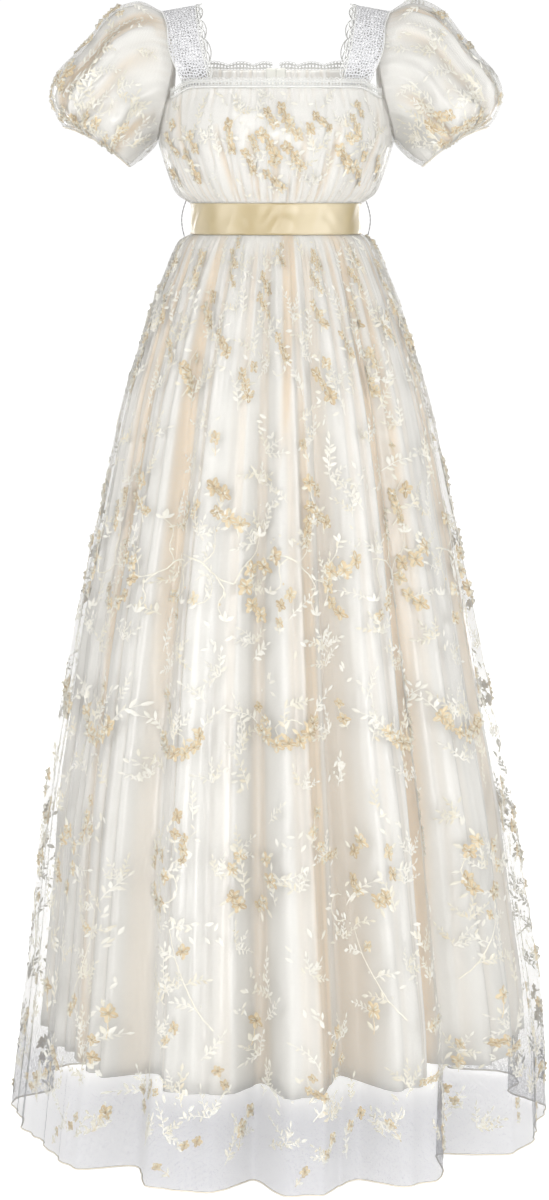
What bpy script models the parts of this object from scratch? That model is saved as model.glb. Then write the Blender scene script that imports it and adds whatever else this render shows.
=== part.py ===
"""Regency gown worn on a general figure, as hollow cloth pieces at real size.

Metres, +Z up, the front faces -Y and the wearer's left is +X.  The origin lies on the
shoulder line, where the two lace straps pass over the wearer's shoulders.
Every panel is a closed wall of even thickness.  Seams are 0.3 mm gaps.
"""
import math
from collections import namedtuple

import bmesh
import bpy
from mathutils import Vector

# Driving dimensions
SEAM_GAP = 0.0003
SEAM_RADIUS = 0.1
SATIN_WALL = 0.0012
NET_WALL = 0.0010
LACE_WALL = 0.0010

SASH_TOP = -0.2473
SASH_BOTTOM = -0.2863
BODICE_BOTTOM = SASH_TOP + SEAM_GAP
SKIRT_TOP = SASH_BOTTOM - SEAM_GAP
SATIN_HEM = -1.325
NET_HEM = -1.434

NECK_FRONT = -0.1065
NECK_FRONT_DIP = 0.011
NECK_DIP_FROM = 50.0
NECK_DIP_WIDTH = 16.0
NECK_BACK = -0.0765

ARMHOLE_TOP = -0.0080
ARMHOLE_BOTTOM = -0.1705
ARMHOLE_HALF_DEPTH = 0.055
EDGE_PASSES = 12

BODICE_PITCH = 6.0
BODICE_ROW_SHARES = [0.0, 0.22, 0.44, 0.65, 0.84, 0.945, 1.0]
PLAIN_SATIN_TO = 36.0
SKIRT_NET_PITCH = 3.0
SKIRT_SATIN_PITCH = 6.0

ZIP_GAP_HALF = 0.0045
ZIP_TOP = -0.0745
ZIP_BOTTOM = -0.2858
COIL_TOP = -0.0905
SLIDER_TOP = -0.0775
SLIDER_LENGTH = 0.0120
SLIDER_WIDTH = 0.0080
SLIDER_ROUND = 0.0015
CHEEK_RADIUS = 0.0018
CHEEK_INNER = 0.0014
CHEEK_THICKNESS = 0.0011
CHEEK_ROOT = 0.0006
PIN_RADIUS = 0.0005
PIN_REACH = 0.0029
KNUCKLE_RADIUS = 0.0010
PULL_STAND = 0.0019
PULL_PIVOT = Vector((0.0, 0.0945, -0.0835))
TAB_LENGTH = 0.0220
TAB_WIDTH = 0.0050
TAB_THICKNESS = 0.0010
TAB_NECK = 0.0034
TAB_HOLE_RADIUS = 0.0012
TAPE_WIDTH = 0.0122
TAPE_WALL = 0.0010
TAPE_EASE = 0.0002
COIL_WIDTH = 0.0050
COIL_THICKNESS = 0.0014

# Cross-sections of the gown from the neck to the hem, read by height
Section = namedtuple("Section", "z half_width front back square sway")
BODICE_SECTIONS = [
    Section(-0.060, 0.1345, 0.0985, 0.0880, 2.50, 0.0),
    Section(-0.106, 0.1385, 0.1080, 0.0910, 2.60, 0.0),
    Section(-0.140, 0.1445, 0.1200, 0.0940, 2.50, 0.0),
    Section(-0.168, 0.1466, 0.1240, 0.0950, 2.40, 0.0),
    Section(-0.193, 0.1400, 0.1180, 0.0940, 2.30, 0.0),
    Section(-0.218, 0.1297, 0.1080, 0.0920, 2.30, 0.0),
    Section(-0.236, 0.1200, 0.1000, 0.0900, 2.20, 0.0),
    Section(-0.2470, 0.1075, 0.0930, 0.0885, 2.20, 0.0),
    Section(-0.2870, 0.1075, 0.0930, 0.0885, 2.20, 0.0),
]
SKIRT_SECTIONS = [
    Section(-0.2866, 0.1100, 0.0955, 0.0908, 2.20, 0.0000),
    Section(-0.2930, 0.1220, 0.1055, 0.1010, 2.15, 0.0000),
    Section(-0.3080, 0.1310, 0.1150, 0.1120, 2.10, 0.0000),
    Section(-0.3317, 0.1405, 0.1260, 0.1240, 2.10, 0.0000),
    Section(-0.3697, 0.1560, 0.1420, 0.1410, 2.05, 0.0000),
    Section(-0.4334, 0.1770, 0.1640, 0.1650, 2.00, 0.0000),
    Section(-0.4973, 0.1965, 0.1840, 0.1860, 2.00, 0.0000),
    Section(-0.6260, 0.2240, 0.2150, 0.2210, 2.00, 0.0000),
    Section(-0.7559, 0.2525, 0.2440, 0.2500, 2.00, -0.0005),
    Section(-0.8870, 0.2780, 0.2700, 0.2760, 2.00, 0.0005),
    Section(-1.0193, 0.3040, 0.2960, 0.3010, 2.00, 0.0025),
    Section(-1.1528, 0.3222, 0.3170, 0.3210, 2.00, 0.0050),
    Section(-1.2875, 0.3405, 0.3370, 0.3400, 2.00, 0.0075),
    Section(-1.4340, 0.3530, 0.3520, 0.3540, 2.00, 0.0020),
]

# Depth of the small gathers, and the air between the net and the satin, by height
Gather = namedtuple("Gather", "z net_depth satin_depth air")
SKIRT_GATHERS = [
    Gather(-0.2866, 0.0010, 0.0005, 0.0031),
    Gather(-0.2930, 0.0028, 0.0014, 0.0085),
    Gather(-0.3080, 0.0040, 0.0024, 0.0090),
    Gather(-0.3317, 0.0052, 0.0030, 0.0090),
    Gather(-0.3697, 0.0060, 0.0040, 0.0090),
    Gather(-0.4334, 0.0056, 0.0040, 0.0090),
    Gather(-0.5615, 0.0044, 0.0035, 0.0110),
    Gather(-0.7559, 0.0026, 0.0020, 0.0150),
    Gather(-0.9200, 0.0012, 0.0010, 0.0200),
    Gather(-1.1200, 0.0004, 0.0004, 0.0250),
    Gather(-1.4340, 0.0000, 0.0000, 0.0300),
]
BODICE_GATHERS = [
    Gather(-0.0765, 0.0003, 0.0, 0.0004),
    Gather(-0.1065, 0.0008, 0.0, 0.0004),
    Gather(-0.1450, 0.0003, 0.0, 0.0005),
    Gather(-0.1900, 0.0012, 0.0, 0.0006),
    Gather(-0.2300, 0.0026, 0.0, 0.0012),
    Gather(-0.2400, 0.0016, 0.0, 0.0016),
    Gather(-0.2470, 0.0004, 0.0, 0.0010),
]
UNEVEN = (1.00, 0.62, 0.85, 0.50, 0.95, 0.70, 0.78)

# The long folds of the skirt: the angle round the figure from the centre front, the depth
# of the valley at the hem in each layer, and the valley's half-width
Fold = namedtuple("Fold", "angle net_depth satin_depth half_angle")
SKIRT_FOLDS = [
    Fold(-66.0, 0.020, 0.026, 22.0),
    Fold(-36.0, 0.056, 0.062, 9.5),
    Fold(-6.0, 0.062, 0.072, 8.0),
    Fold(17.5, 0.046, 0.092, 9.5),
    Fold(46.0, 0.070, 0.082, 12.5),
    Fold(78.0, 0.012, 0.020, 9.0),
    Fold(102.0, 0.034, 0.042, 10.0),
    Fold(127.0, 0.052, 0.060, 10.0),
    Fold(152.0, 0.040, 0.052, 9.0),
    Fold(176.0, 0.056, 0.066, 9.0),
    Fold(201.0, 0.038, 0.046, 9.0),
    Fold(227.0, 0.058, 0.066, 10.0),
    Fold(255.0, 0.036, 0.044, 10.0),
    Fold(276.0, 0.014, 0.020, 9.0),
]
FOLD_START = -0.295
FOLD_POWER = 0.85

SKIRT_NET_ROWS = [SKIRT_TOP, -0.293, -0.308, -0.350, -0.430, -0.550, -0.720, -0.930, -1.170, NET_HEM]
SKIRT_SATIN_ROWS = [SKIRT_TOP, -0.293, -0.308, -0.370, -0.500, -0.680, -0.890, -1.110, SATIN_HEM]

# Rings of the puff sleeve, from the armhole to the cuff, for the sleeve at +X: the ring's
# top point and bottom point, its half depth front to back, how far its front and back lean
# towards the neck and lift, the depth of its gathers, and the air between net and satin
Ring = namedtuple("Ring", "top_x top_z low_x low_z half_depth lean lift gather air")
SLEEVE_RINGS = [
    Ring(0.1436, ARMHOLE_TOP, 0.1500, ARMHOLE_BOTTOM, ARMHOLE_HALF_DEPTH, 0.0125, 0.0000, 0.0008, 0.0003),
    Ring(0.1735, 0.0045, 0.1528, -0.1760, 0.0670, 0.0050, 0.0000, 0.0036, 0.0022),
    Ring(0.2083, -0.0100, 0.1605, -0.1843, 0.0780, 0.0000, 0.0000, 0.0030, 0.0040),
    Ring(0.2413, -0.0477, 0.1690, -0.1918, 0.0860, 0.0000, 0.0000, 0.0018, 0.0048),
    Ring(0.2756, -0.0817, 0.1768, -0.1968, 0.0880, 0.0000, 0.0000, 0.0016, 0.0048),
    Ring(0.2857, -0.1093, 0.1816, -0.1993, 0.0820, 0.0000, 0.0000, 0.0022, 0.0042),
    Ring(0.2781, -0.1378, 0.1845, -0.2006, 0.0650, 0.0020, 0.0034, 0.0034, 0.0170),
    Ring(0.2692, -0.1515, 0.1858, -0.2010, 0.0490, 0.0036, 0.0056, 0.0016, 0.0130),
]
SLEEVE_NET_COLUMNS = 28
SLEEVE_SATIN_COLUMNS = 18
SLEEVE_SATIN_GATHER = 0.5
SLEEVE_NET_ROWS = [0.0, 1.0, 2.0, 3.0, 4.0, 5.0, 6.0, 6.6, 7.0]
SLEEVE_SATIN_ROWS = [0.0, 1.0, 2.0, 3.0, 4.0, 5.0, 5.8]
ARMHOLE_EASE = 0.0009

# Lace strap at +X from the front of the neck over the shoulder to the back, between its
# neck edge and its sleeve edge.  Its two ends tuck in behind the bodice.
StrapRow = namedtuple("StrapRow", "neck_x neck_y neck_z arm_x arm_y arm_z")
STRAP_MIDDLE = [
    StrapRow(0.0850, -0.0895, -0.0880, 0.1120, -0.0725, -0.0880),
    StrapRow(0.0930, -0.0770, -0.0550, 0.1250, -0.0600, -0.0580),
    StrapRow(0.0990, -0.0480, -0.0190, 0.1365, -0.0370, -0.0250),
    StrapRow(0.1008, 0.0000, 0.0000, 0.1427, 0.0000, -0.0075),
    StrapRow(0.0985, 0.0430, -0.0180, 0.1365, 0.0360, -0.0250),
    StrapRow(0.0925, 0.0640, -0.0420, 0.1240, 0.0500, -0.0470),
    StrapRow(0.0890, 0.0720, -0.0630, 0.1140, 0.0565, -0.0640),
]
STRAP_FRONT_X = (0.0825, 0.1050)
STRAP_BACK_X = (0.0870, 0.1090)
STRAP_TUCK = 0.010
STRAP_BEHIND = 0.0010
LOOP_COUNT = 8
LOOP_STEPS = 4
LOOP_REACH = 0.0062
LOOP_THREAD = 0.0020
LOOP_ROOT = 0.0008
LOOP_ROUNDNESS = 0.7
STRAP_CLEAR_HEIGHT = 0.003
STRAP_PLAIN = 0.0200

LACE_HEIGHT = 0.0095
BACK_LACE_HEIGHT = 0.0050
BACK_SCALLOP = 0.0042
BACK_SCALLOP_PITCH = 0.028
PIPING_RADIUS = 0.0012

SASH_WALL = 0.0010
SASH_LAP_ANGLE = 200.0
SASH_LAP_LENGTH = 24.0
LOOP_CORD_RADIUS = 0.0006
LOOP_CORD_STEPS = 6
LOOP_BOW = 0.0045
LOOP_END_ABOVE = 0.0035
LOOP_END_BELOW = 0.0030

COLOURS = {
    "satin": ((0.86, 0.81, 0.72, 1.0), 0.35, 0.0),
    "net": ((0.90, 0.88, 0.83, 1.0), 0.60, 0.0),
    "lace": ((0.92, 0.92, 0.92, 1.0), 0.70, 0.0),
    "ribbon": ((0.68, 0.58, 0.33, 1.0), 0.35, 0.0),
    "cord": ((0.75, 0.75, 0.74, 1.0), 0.70, 0.0),
    "tape": ((0.85, 0.86, 0.80, 1.0), 0.80, 0.0),
    "coil": ((0.88, 0.88, 0.84, 1.0), 0.45, 0.0),
    "zip_metal": ((0.62, 0.60, 0.55, 1.0), 0.30, 1.0),
}


def clear_scene():
    for old in list(bpy.data.objects):
        bpy.data.objects.remove(old, do_unlink=True)


def finish_material(name):
    """The shared Principled material of one kind of cloth or metal."""
    if name in bpy.data.materials:
        return bpy.data.materials[name]
    colour, roughness, metallic = COLOURS[name]
    material = bpy.data.materials.new(name)
    material.use_nodes = True
    shader = material.node_tree.nodes["Principled BSDF"]
    shader.inputs["Base Color"].default_value = colour
    shader.inputs["Roughness"].default_value = roughness
    shader.inputs["Metallic"].default_value = metallic
    material.diffuse_color = colour
    return material


def add_object(name, mesh, material):
    """Turn a finished bmesh into a named object with its own material."""
    bmesh.ops.recalc_face_normals(mesh, faces=mesh.faces)
    data = bpy.data.meshes.new(name)
    mesh.to_mesh(data)
    mesh.free()
    data.materials.append(finish_material(material))
    item = bpy.data.objects.new(name, data)
    bpy.context.collection.objects.link(item)
    return item


def smooth_value(rows, column, place, key="z"):
    """Read one column of a table at any place along its key, on a smooth curve."""
    keys = [getattr(row, key) for row in rows]
    values = [getattr(row, column) for row in rows]
    falling = keys[0] > keys[-1]
    if falling:
        keys.reverse()
        values.reverse()
    place = min(max(place, keys[0]), keys[-1])
    index = 0
    while index < len(keys) - 2 and place > keys[index + 1]:
        index += 1

    def slope(at):
        low = max(at - 1, 0)
        high = min(at + 1, len(keys) - 1)
        return (values[high] - values[low]) / (keys[high] - keys[low])

    span = keys[index + 1] - keys[index]
    part = (place - keys[index]) / span
    rise = values[index + 1] - values[index]
    start = slope(index) * span
    end = slope(index + 1) * span
    cubic = start + end - 2 * rise
    square = 3 * rise - 2 * start - end
    return values[index] + part * (start + part * (square + part * cubic))


def table_value(rows, column, place):
    """Read one column of a table at a row number that may lie between two rows."""
    place = min(max(place, 0.0), len(rows) - 1.0)
    index = min(int(place), len(rows) - 2)
    values = [getattr(row, column) for row in rows]

    def slope(at):
        low = max(at - 1, 0)
        high = min(at + 1, len(rows) - 1)
        return (values[high] - values[low]) / (high - low)

    part = place - index
    rise = values[index + 1] - values[index]
    start = slope(index)
    end = slope(index + 1)
    cubic = start + end - 2 * rise
    square = 3 * rise - 2 * start - end
    return values[index] + part * (start + part * (square + part * cubic))


def row_height(rows, place):
    """Height at a row number that may lie between two rows."""
    place = min(max(place, 0.0), len(rows) - 1.0)
    index = min(int(place), len(rows) - 2)
    return rows[index] + (rows[index + 1] - rows[index]) * (place - index)


def zigzag(column):
    """0 on the even columns, which are ridges, and 1 on the odd ones, which are valleys."""
    return 1.0 - abs(column % 2.0 - 1.0)


def uneven_zigzag(column):
    return zigzag(column) * UNEVEN[int(column // 2) % len(UNEVEN)]


def section_radius(sections, angle, z, extra=0.0):
    """Distance from the axis to a rounded cross-section in one direction."""
    half_width = smooth_value(sections, "half_width", z) + extra
    front_or_back = "front" if math.cos(math.radians(angle)) > 0 else "back"
    depth = smooth_value(sections, front_or_back, z) + extra
    power = smooth_value(sections, "square", z)
    across = abs(math.sin(math.radians(angle))) / half_width
    along = abs(math.cos(math.radians(angle))) / depth
    return (across ** power + along ** power) ** (-1.0 / power)


def at_angle(angle, radius, z, sway=0.0):
    """Point at an angle round the figure, from the centre front towards +X."""
    turn = math.radians(angle)
    return Vector((radius * math.sin(turn) + sway, -radius * math.cos(turn), z))


def cloth_panel(name, point_at, columns, rows, wall, material, wrap=False, is_gap=None):
    """A closed wall of even thickness behind a grid of outer points.

    point_at takes a column and a row number.  The wall's direction is taken over a
    whole column each way, so that two panels that meet at a seam agree on it.
    """
    mesh = bmesh.new()
    outer = []
    inner = []
    for row in rows:
        outer_row = []
        inner_row = []
        for column in columns:
            point = point_at(column, row)
            down = point_at(column, row + 0.25) - point_at(column, row - 0.25)
            along = point_at(column + 1.0, row) - point_at(column - 1.0, row)
            outward = down.cross(along).normalized()
            outer_row.append(mesh.verts.new(point))
            inner_row.append(mesh.verts.new(point - outward * wall))
        outer.append(outer_row)
        inner.append(inner_row)
    row_cells = len(rows) - 1
    column_cells = len(columns) if wrap else len(columns) - 1

    def filled(row, column):
        if wrap:
            column %= column_cells
        if not (0 <= row < row_cells and 0 <= column < column_cells):
            return False
        if is_gap is None:
            return True
        return not is_gap(rows[row], (columns[column] + columns[column + 1]) / 2)

    def split(a, b, c, d):
        mesh.faces.new((a, b, c))
        mesh.faces.new((a, c, d))

    for row in range(row_cells):
        for column in range(column_cells):
            if not filled(row, column):
                continue
            beside = (column + 1) % len(columns)
            corners = [(row, column), (row + 1, column), (row + 1, beside), (row, beside)]
            o = [outer[r][c] for r, c in corners]
            i = [inner[r][c] for r, c in corners]
            split(o[0], o[1], o[2], o[3])
            split(i[2], i[1], i[0], i[3])
            if not filled(row, column - 1):
                split(o[1], o[0], i[0], i[1])
            if not filled(row + 1, column):
                split(o[2], o[1], i[1], i[2])
            if not filled(row, column + 1):
                split(o[3], o[2], i[2], i[3])
            if not filled(row - 1, column):
                split(o[0], o[3], i[3], i[0])
    return add_object(name, mesh, material)


def both_sides(name, point_at, columns, rows, wall, material, wrap=False, is_gap=None):
    """A panel at +X, the wearer's left, and its mirror image at -X."""
    def mirrored_point(column, row):
        point = point_at(-column, row)
        return Vector((-point.x, point.y, point.z))

    def mirrored_gap(row, column):
        return is_gap(row, -column)

    cloth_panel(name + "_left", point_at, columns, rows, wall, material, wrap, is_gap)
    other_columns = [-column for column in reversed(columns)]
    other_gap = mirrored_gap if is_gap else None
    cloth_panel(name + "_right", mirrored_point, other_columns, rows, wall, material,
                wrap, other_gap)


def column_list(start_angle, end_angle, pitch):
    """Columns from one seam to the next, half a seam gap short at both ends."""
    trim = math.degrees(SEAM_GAP / 2 / SEAM_RADIUS) / pitch
    first = start_angle / pitch
    last = end_angle / pitch
    inside = [float(n) for n in range(math.floor(first) + 1, math.ceil(last))]
    return [first + trim] + inside + [last - trim]


# ---------------------------------------------------------------- skirt

def fold_valley(angle, z, column):
    """How far the long folds draw the skirt in at one place."""
    growth = max(0.0, (FOLD_START - z) / (FOLD_START - NET_HEM)) ** FOLD_POWER
    depth = 0.0
    for fold in SKIRT_FOLDS:
        away = abs((angle - fold.angle + 180.0) % 360.0 - 180.0) / fold.half_angle
        if away < 1.0:
            depth += getattr(fold, column) * math.cos(away * math.pi / 2) ** 2
    return depth * growth


def skirt_net_point(column, row):
    angle = column * SKIRT_NET_PITCH
    z = row_height(SKIRT_NET_ROWS, row)
    radius = section_radius(SKIRT_SECTIONS, angle, z)
    radius -= smooth_value(SKIRT_GATHERS, "net_depth", z) * uneven_zigzag(column)
    radius -= fold_valley(angle, z, "net_depth")
    return at_angle(angle, radius, z, smooth_value(SKIRT_SECTIONS, "sway", z))


def skirt_satin_point(column, row):
    angle = column * SKIRT_SATIN_PITCH
    z = row_height(SKIRT_SATIN_ROWS, row)
    radius = section_radius(SKIRT_SECTIONS, angle, z)
    radius -= smooth_value(SKIRT_GATHERS, "air", z)
    radius -= smooth_value(SKIRT_GATHERS, "satin_depth", z) * uneven_zigzag(column)
    radius -= fold_valley(angle, z, "satin_depth")
    return at_angle(angle, radius, z, smooth_value(SKIRT_SECTIONS, "sway", z))


SKIRT_PANELS = (("front", -90.0, 90.0), ("back_left", 90.0, 180.0), ("back_right", 180.0, 270.0))


def make_skirts():
    for side, start, end in SKIRT_PANELS:
        columns = column_list(start, end, SKIRT_NET_PITCH)
        rows = range(len(SKIRT_NET_ROWS))
        cloth_panel("overskirt_" + side, skirt_net_point, columns, rows, NET_WALL, "net")
        columns = column_list(start, end, SKIRT_SATIN_PITCH)
        rows = range(len(SKIRT_SATIN_ROWS))
        cloth_panel("underskirt_" + side, skirt_satin_point, columns, rows, SATIN_WALL, "satin")


# ---------------------------------------------------------------- bodice

def bodice_side_x(y, z, extra=0.0):
    """Half width of the bodice at one depth and height."""
    half_width = smooth_value(BODICE_SECTIONS, "half_width", z) + extra
    depth = smooth_value(BODICE_SECTIONS, "front" if y < 0 else "back", z) + extra
    power = smooth_value(BODICE_SECTIONS, "square", z)
    return half_width * max(0.0, 1.0 - abs(y / depth) ** power) ** (1.0 / power)


def bodice_depth_y(x, z, front, extra=0.0):
    """Depth of the bodice at one half width and height, negative at the front."""
    half_width = smooth_value(BODICE_SECTIONS, "half_width", z) + extra
    depth = smooth_value(BODICE_SECTIONS, "front" if front else "back", z) + extra
    power = smooth_value(BODICE_SECTIONS, "square", z)
    reach = depth * max(0.0, 1.0 - abs(x / half_width) ** power) ** (1.0 / power)
    return -reach if front else reach


def armhole_height(y):
    """Height of the lower half of the armhole at one depth."""
    centre = (ARMHOLE_TOP + ARMHOLE_BOTTOM) / 2
    half_height = (ARMHOLE_TOP - ARMHOLE_BOTTOM) / 2
    share = min(1.0, abs(y) / ARMHOLE_HALF_DEPTH)
    return centre - half_height * math.sqrt(1.0 - share ** 2)


def neck_height(angle):
    """Height of the neckline before the armhole cuts into it."""
    away = abs((angle + 180.0) % 360.0 - 180.0)
    if away > 90.0:
        return NECK_BACK
    dip = min(max((away - NECK_DIP_FROM) / NECK_DIP_WIDTH, 0.0), 1.0)
    return NECK_FRONT - NECK_FRONT_DIP * dip * dip * (3.0 - 2.0 * dip)


def bodice_top(angle):
    """Height of the bodice's upper edge at one angle."""
    z = ARMHOLE_BOTTOM
    for step in range(EDGE_PASSES):
        y = -section_radius(BODICE_SECTIONS, angle, z) * math.cos(math.radians(angle))
        if abs(y) >= ARMHOLE_HALF_DEPTH:
            edge = neck_height(angle)
        else:
            edge = min(armhole_height(y), neck_height(angle))
        z = (z + edge) / 2 if step < EDGE_PASSES - 1 else edge
    return z


def bodice_height(angle, row):
    """Height of a row at one angle; row 0 is the upper edge, the last row the waist seam."""
    share = row_height(BODICE_ROW_SHARES, row)
    return bodice_top(angle) * (1.0 - share) + BODICE_BOTTOM * share


def bodice_net_ease(z):
    """How far the ridges of the net stand out from the satin at one height."""
    gather = smooth_value(BODICE_GATHERS, "net_depth", z)
    return NET_WALL + gather + smooth_value(BODICE_GATHERS, "air", z)


def bodice_satin_point(column, row):
    angle = column * BODICE_PITCH
    z = bodice_height(angle, row)
    return at_angle(angle, section_radius(BODICE_SECTIONS, angle, z), z)


def bodice_net_point(column, row):
    angle = column * BODICE_PITCH
    z = bodice_height(angle, row)
    radius = section_radius(BODICE_SECTIONS, angle, z, bodice_net_ease(z))
    radius -= smooth_value(BODICE_GATHERS, "net_depth", z) * uneven_zigzag(column)
    return at_angle(angle, radius, z)


def back_opening_angle():
    """Angle from the centre back to the edge of a back panel."""
    return math.degrees(math.atan(ZIP_GAP_HALF / BODICE_SECTIONS[-1].back))


def sparse_columns(columns):
    """Leave out every other column where the satin runs plain across the front and back."""
    kept = []
    for column in columns:
        from_middle = abs((column * BODICE_PITCH + 90.0) % 180.0 - 90.0)
        odd_inside = column % 2.0 == 1.0 and from_middle < PLAIN_SATIN_TO
        if not odd_inside:
            kept.append(column)
    return kept


def make_bodice():
    opening = back_opening_angle()
    panels = (
        ("front", -90.0, 90.0),
        ("back_left", 90.0, 180.0 - opening),
        ("back_right", 180.0 + opening, 270.0),
    )
    rows = range(len(BODICE_ROW_SHARES))
    for side, start, end in panels:
        columns = column_list(start, end, BODICE_PITCH)
        cloth_panel("bodice_net_" + side, bodice_net_point, columns, rows, NET_WALL, "net")
        columns = sparse_columns(columns)
        cloth_panel("bodice_" + side, bodice_satin_point, columns, rows, SATIN_WALL, "satin")


# ---------------------------------------------------------------- sleeves

def sleeve_point(ring, angle, inset):
    """Point on the sleeve at +X; angle 0 is the top of the ring and 90 its back."""
    turn = math.radians(angle)
    top_x = table_value(SLEEVE_RINGS, "top_x", ring)
    top_z = table_value(SLEEVE_RINGS, "top_z", ring)
    low_x = table_value(SLEEVE_RINGS, "low_x", ring)
    low_z = table_value(SLEEVE_RINGS, "low_z", ring)
    half_length = math.hypot(top_x - low_x, top_z - low_z) / 2
    reach = math.cos(turn) * (half_length - inset) / half_length / 2
    x = (top_x + low_x) / 2 + (top_x - low_x) * reach
    z = (top_z + low_z) / 2 + (top_z - low_z) * reach
    y = (table_value(SLEEVE_RINGS, "half_depth", ring) - inset) * math.sin(turn)
    x -= table_value(SLEEVE_RINGS, "lean", ring) * math.sin(turn) ** 2
    z += table_value(SLEEVE_RINGS, "lift", ring) * math.sin(turn) ** 2
    beside_bodice = bodice_side_x(y, z, bodice_net_ease(z)) + ARMHOLE_EASE
    return Vector((max(x, beside_bodice), y, z))


def sleeve_net_point(column, row):
    ring = row_height(SLEEVE_NET_ROWS, row)
    inset = table_value(SLEEVE_RINGS, "gather", ring) * uneven_zigzag(column)
    return sleeve_point(ring, column * 360.0 / SLEEVE_NET_COLUMNS, inset)


def sleeve_satin_point(column, row):
    ring = row_height(SLEEVE_SATIN_ROWS, row)
    gather = table_value(SLEEVE_RINGS, "gather", ring)
    inset = NET_WALL + gather + table_value(SLEEVE_RINGS, "air", ring)
    inset += gather * SLEEVE_SATIN_GATHER * uneven_zigzag(column)
    return sleeve_point(ring, column * 360.0 / SLEEVE_SATIN_COLUMNS, inset)


def make_sleeves():
    columns = [float(n) for n in range(SLEEVE_NET_COLUMNS)]
    rows = range(len(SLEEVE_NET_ROWS))
    both_sides("sleeve_net", sleeve_net_point, columns, rows, NET_WALL, "net", wrap=True)
    columns = [float(n) for n in range(SLEEVE_SATIN_COLUMNS)]
    rows = range(len(SLEEVE_SATIN_ROWS))
    both_sides("sleeve_satin", sleeve_satin_point, columns, rows, SATIN_WALL, "satin", wrap=True)


# ---------------------------------------------------------------- lace and piping

def tucked_row(neck_x, arm_x, z, front):
    """Where the lace strap lies against the inside of the bodice at one height."""
    behind = -(SATIN_WALL + STRAP_BEHIND)
    neck_y = bodice_depth_y(neck_x, z, front, behind - STRAP_BEHIND / 2)
    arm_y = bodice_depth_y(arm_x, z, front, behind)
    return StrapRow(neck_x, neck_y, z, arm_x, arm_y, z)


def strap_rows():
    """The strap's control rows from its front tuck to its back tuck, with their distance."""
    rows = [
        tucked_row(*STRAP_FRONT_X, NECK_FRONT - STRAP_TUCK, True),
        tucked_row(*STRAP_FRONT_X, NECK_FRONT + STRAP_CLEAR_HEIGHT, True),
        *STRAP_MIDDLE,
        tucked_row(*STRAP_BACK_X, NECK_BACK + STRAP_CLEAR_HEIGHT, False),
        tucked_row(*STRAP_BACK_X, NECK_BACK - STRAP_TUCK, False),
    ]
    placed = []
    distance = 0.0
    previous = None
    for row in rows:
        middle = Vector((row.neck_x + row.arm_x, row.neck_y + row.arm_y, row.neck_z + row.arm_z)) / 2
        if previous is not None:
            distance += (middle - previous).length
        previous = middle
        placed.append(PlacedStrapRow(distance, *row))
    return placed


PlacedStrapRow = namedtuple("PlacedStrapRow", ("along",) + StrapRow._fields)
STRAP_ROWS = strap_rows()
STRAP_LENGTH = STRAP_ROWS[-1].along
LOOP_PITCH = (STRAP_LENGTH - 2 * STRAP_PLAIN) / LOOP_COUNT


def strap_point(column, row):
    """Column 0 is the sleeve edge, -1 the neck edge; past it lie the rails of the loops."""
    along = row * STRAP_LENGTH
    edges = {}
    for name in StrapRow._fields:
        edges[name] = smooth_value(STRAP_ROWS, name, along, key="along")
    arm = Vector((edges["arm_x"], edges["arm_y"], edges["arm_z"]))
    neck = Vector((edges["neck_x"], edges["neck_y"], edges["neck_z"]))
    return arm + (neck - arm) * column


def strap_loop_point(column, row):
    """Columns 0 to 3: sleeve edge, neck edge, inner rail and outer rail of the loops."""
    width = (strap_point(1.0, row) - strap_point(0.0, row)).length
    along = row * STRAP_LENGTH - STRAP_PLAIN
    phase = along / LOOP_PITCH % 1.0
    in_loops = 0.0 < along < LOOP_PITCH * LOOP_COUNT
    bulge = LOOP_REACH * math.sin(math.pi * phase) ** LOOP_ROUNDNESS if in_loops else 0.0
    places = (0.0, 1.0, 1.0 + (LOOP_ROOT + bulge) / width, 1.0 + (LOOP_ROOT + LOOP_THREAD + bulge) / width)
    low = min(max(int(math.floor(column)), 0), 2)
    place = places[low] + (places[low + 1] - places[low]) * (column - low)
    return strap_point(place, row)


def strap_gap(row, column):
    """The open middle of each loop."""
    phase = (row * STRAP_LENGTH - STRAP_PLAIN) / LOOP_PITCH
    step = round(phase * LOOP_STEPS)
    in_loops = 0 <= step < LOOP_COUNT * LOOP_STEPS
    return in_loops and 1.0 < column < 2.0 and step % LOOP_STEPS in (1, 2)


def make_straps():
    steps = LOOP_COUNT * LOOP_STEPS
    rows = [0.0]
    for step in range(steps + 1):
        rows.append((STRAP_PLAIN + LOOP_PITCH * step / LOOP_STEPS) / STRAP_LENGTH)
    rows.append(1.0)
    both_sides("strap_lace", strap_loop_point, [0.0, 1.0, 2.0, 3.0], rows, LACE_WALL, "lace",
               is_gap=strap_gap)


def neck_end_angle(front):
    """Angle of the point where the neckline meets the armhole."""
    z = NECK_FRONT - NECK_FRONT_DIP / 2 if front else NECK_BACK
    y = -ARMHOLE_HALF_DEPTH if front else ARMHOLE_HALF_DEPTH
    return math.degrees(math.atan2(bodice_side_x(y, z), -y))


def piping_centre(angle):
    z = bodice_top(angle) + SEAM_GAP + PIPING_RADIUS
    return at_angle(angle, section_radius(BODICE_SECTIONS, angle, z, PIPING_RADIUS / 4), z)


def lace_point(column, row):
    """Front neck lace; row 1 is its sewn edge on the piping and row 0 its free edge."""
    angle = column * BODICE_PITCH
    edge = bodice_top(angle)
    z = edge + 2 * (SEAM_GAP + PIPING_RADIUS) + LACE_HEIGHT * (1.0 - row)
    return at_angle(angle, section_radius(BODICE_SECTIONS, angle, edge, PIPING_RADIUS / 2), z)


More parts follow.
